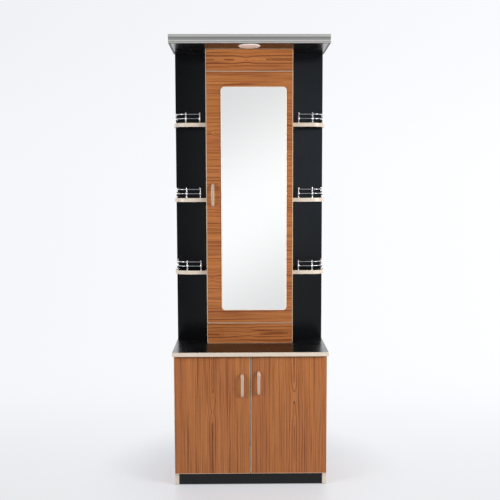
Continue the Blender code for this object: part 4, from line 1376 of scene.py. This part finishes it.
class STYLING_UNIT_OT_stage(UnitOperator, bpy.types.Operator):
    """Make the pale floor and backdrop, the lights, the world and the camera"""

    bl_idname = "styling_unit.stage"
    bl_label = "Stage"

    def execute(self, context):
        settings = chosen().stage
        bend = arc((STAGE_WALL - STAGE_BEND, STAGE_BEND), (STAGE_BEND,) * 2, -90, 0, 25)
        section = np.concatenate([[(STAGE_FRONT, 0.0)], bend, [(STAGE_WALL, STAGE_TOP)]])
        path = straight_path((STAGE_REACH, 0.0), (-STAGE_REACH, 0.0), (0.0, -1.0))
        places, faces = surface(carried(path, section, Z), wrap_columns=False, caps=False)
        mesh = bpy.data.meshes.new("stage_sweep")
        mesh.from_pydata(places.tolist(), [], faces)
        mesh.shade_smooth()
        mesh.materials.append(pale_stage_material())
        linked("stage_sweep", mesh)
        add_softbox("key_light", settings.key, SOFTBOX_AZIMUTH, (1.0, 0.97, 0.94))
        add_softbox("fill_light", settings.fill, -SOFTBOX_AZIMUTH, (0.96, 0.98, 1.0))
        make_world(context.scene, settings)
        camera = linked("photograph_camera", bpy.data.cameras.new("photograph_camera"))
        camera.data.lens, camera.data.sensor_width = CAMERA_LENS, CAMERA_SENSOR
        camera.data.sensor_fit = "HORIZONTAL"
        camera.data.clip_end = 100.0
        camera.location = CAMERA_PLACE
        camera.rotation_euler = (math.pi / 2 - CAMERA_PITCH, CAMERA_ROLL, -CAMERA_YAW)
        context.scene.camera = camera
        context.scene.view_settings.view_transform = "Standard"
        return {"FINISHED"}


class STYLING_UNIT_PT_sidebar(bpy.types.Panel):
    """The unit's settings and the pieces that can be made."""

    bl_idname = "STYLING_UNIT_PT_sidebar"
    bl_label = "Styling Unit"
    bl_space_type = "VIEW_3D"
    bl_region_type = "UI"
    bl_category = "Styling Unit"

    def draw(self, context):
        settings = context.scene.styling_unit
        for title, group in (("Boards", settings.boards), ("Finishes", settings.finishes),
                             ("Stage", settings.stage)):
            group_box = self.layout.box()
            group_box.label(text=title)
            for key in group.__annotations__:
                group_box.prop(group, key)
        for operator in OPERATORS:
            self.layout.operator(operator.bl_idname)


OPERATORS = (STYLING_UNIT_OT_stage, STYLING_UNIT_OT_base_carcass, STYLING_UNIT_OT_glides,
             STYLING_UNIT_OT_worktop, STYLING_UNIT_OT_back_panel, STYLING_UNIT_OT_mirror_cabinet,
             STYLING_UNIT_OT_side_shelves, STYLING_UNIT_OT_galleries, STYLING_UNIT_OT_canopy,
             STYLING_UNIT_OT_downlight, STYLING_UNIT_OT_doors, STYLING_UNIT_OT_mirror_glass,
             STYLING_UNIT_OT_handles, STYLING_UNIT_OT_hinges, STYLING_UNIT_OT_fittings)
CLASSES = (BoardSettings, FinishSettings, StageSettings, UnitSettings, *OPERATORS,
           STYLING_UNIT_PT_sidebar)


def register():
    """Add the settings, the operators and the panel to Blender."""
    for item in CLASSES:
        bpy.utils.register_class(item)
    bpy.types.Scene.styling_unit = PointerProperty(type=UnitSettings)


def unregister():
    """Take them away again."""
    del bpy.types.Scene.styling_unit
    for item in reversed(CLASSES):
        bpy.utils.unregister_class(item)


def main():
    """Make every piece in order."""
    register()
    for operator in OPERATORS:
        group, name = operator.bl_idname.split(".")
        getattr(getattr(bpy.ops, group), name)()


if __name__ == "__main__":
    main()
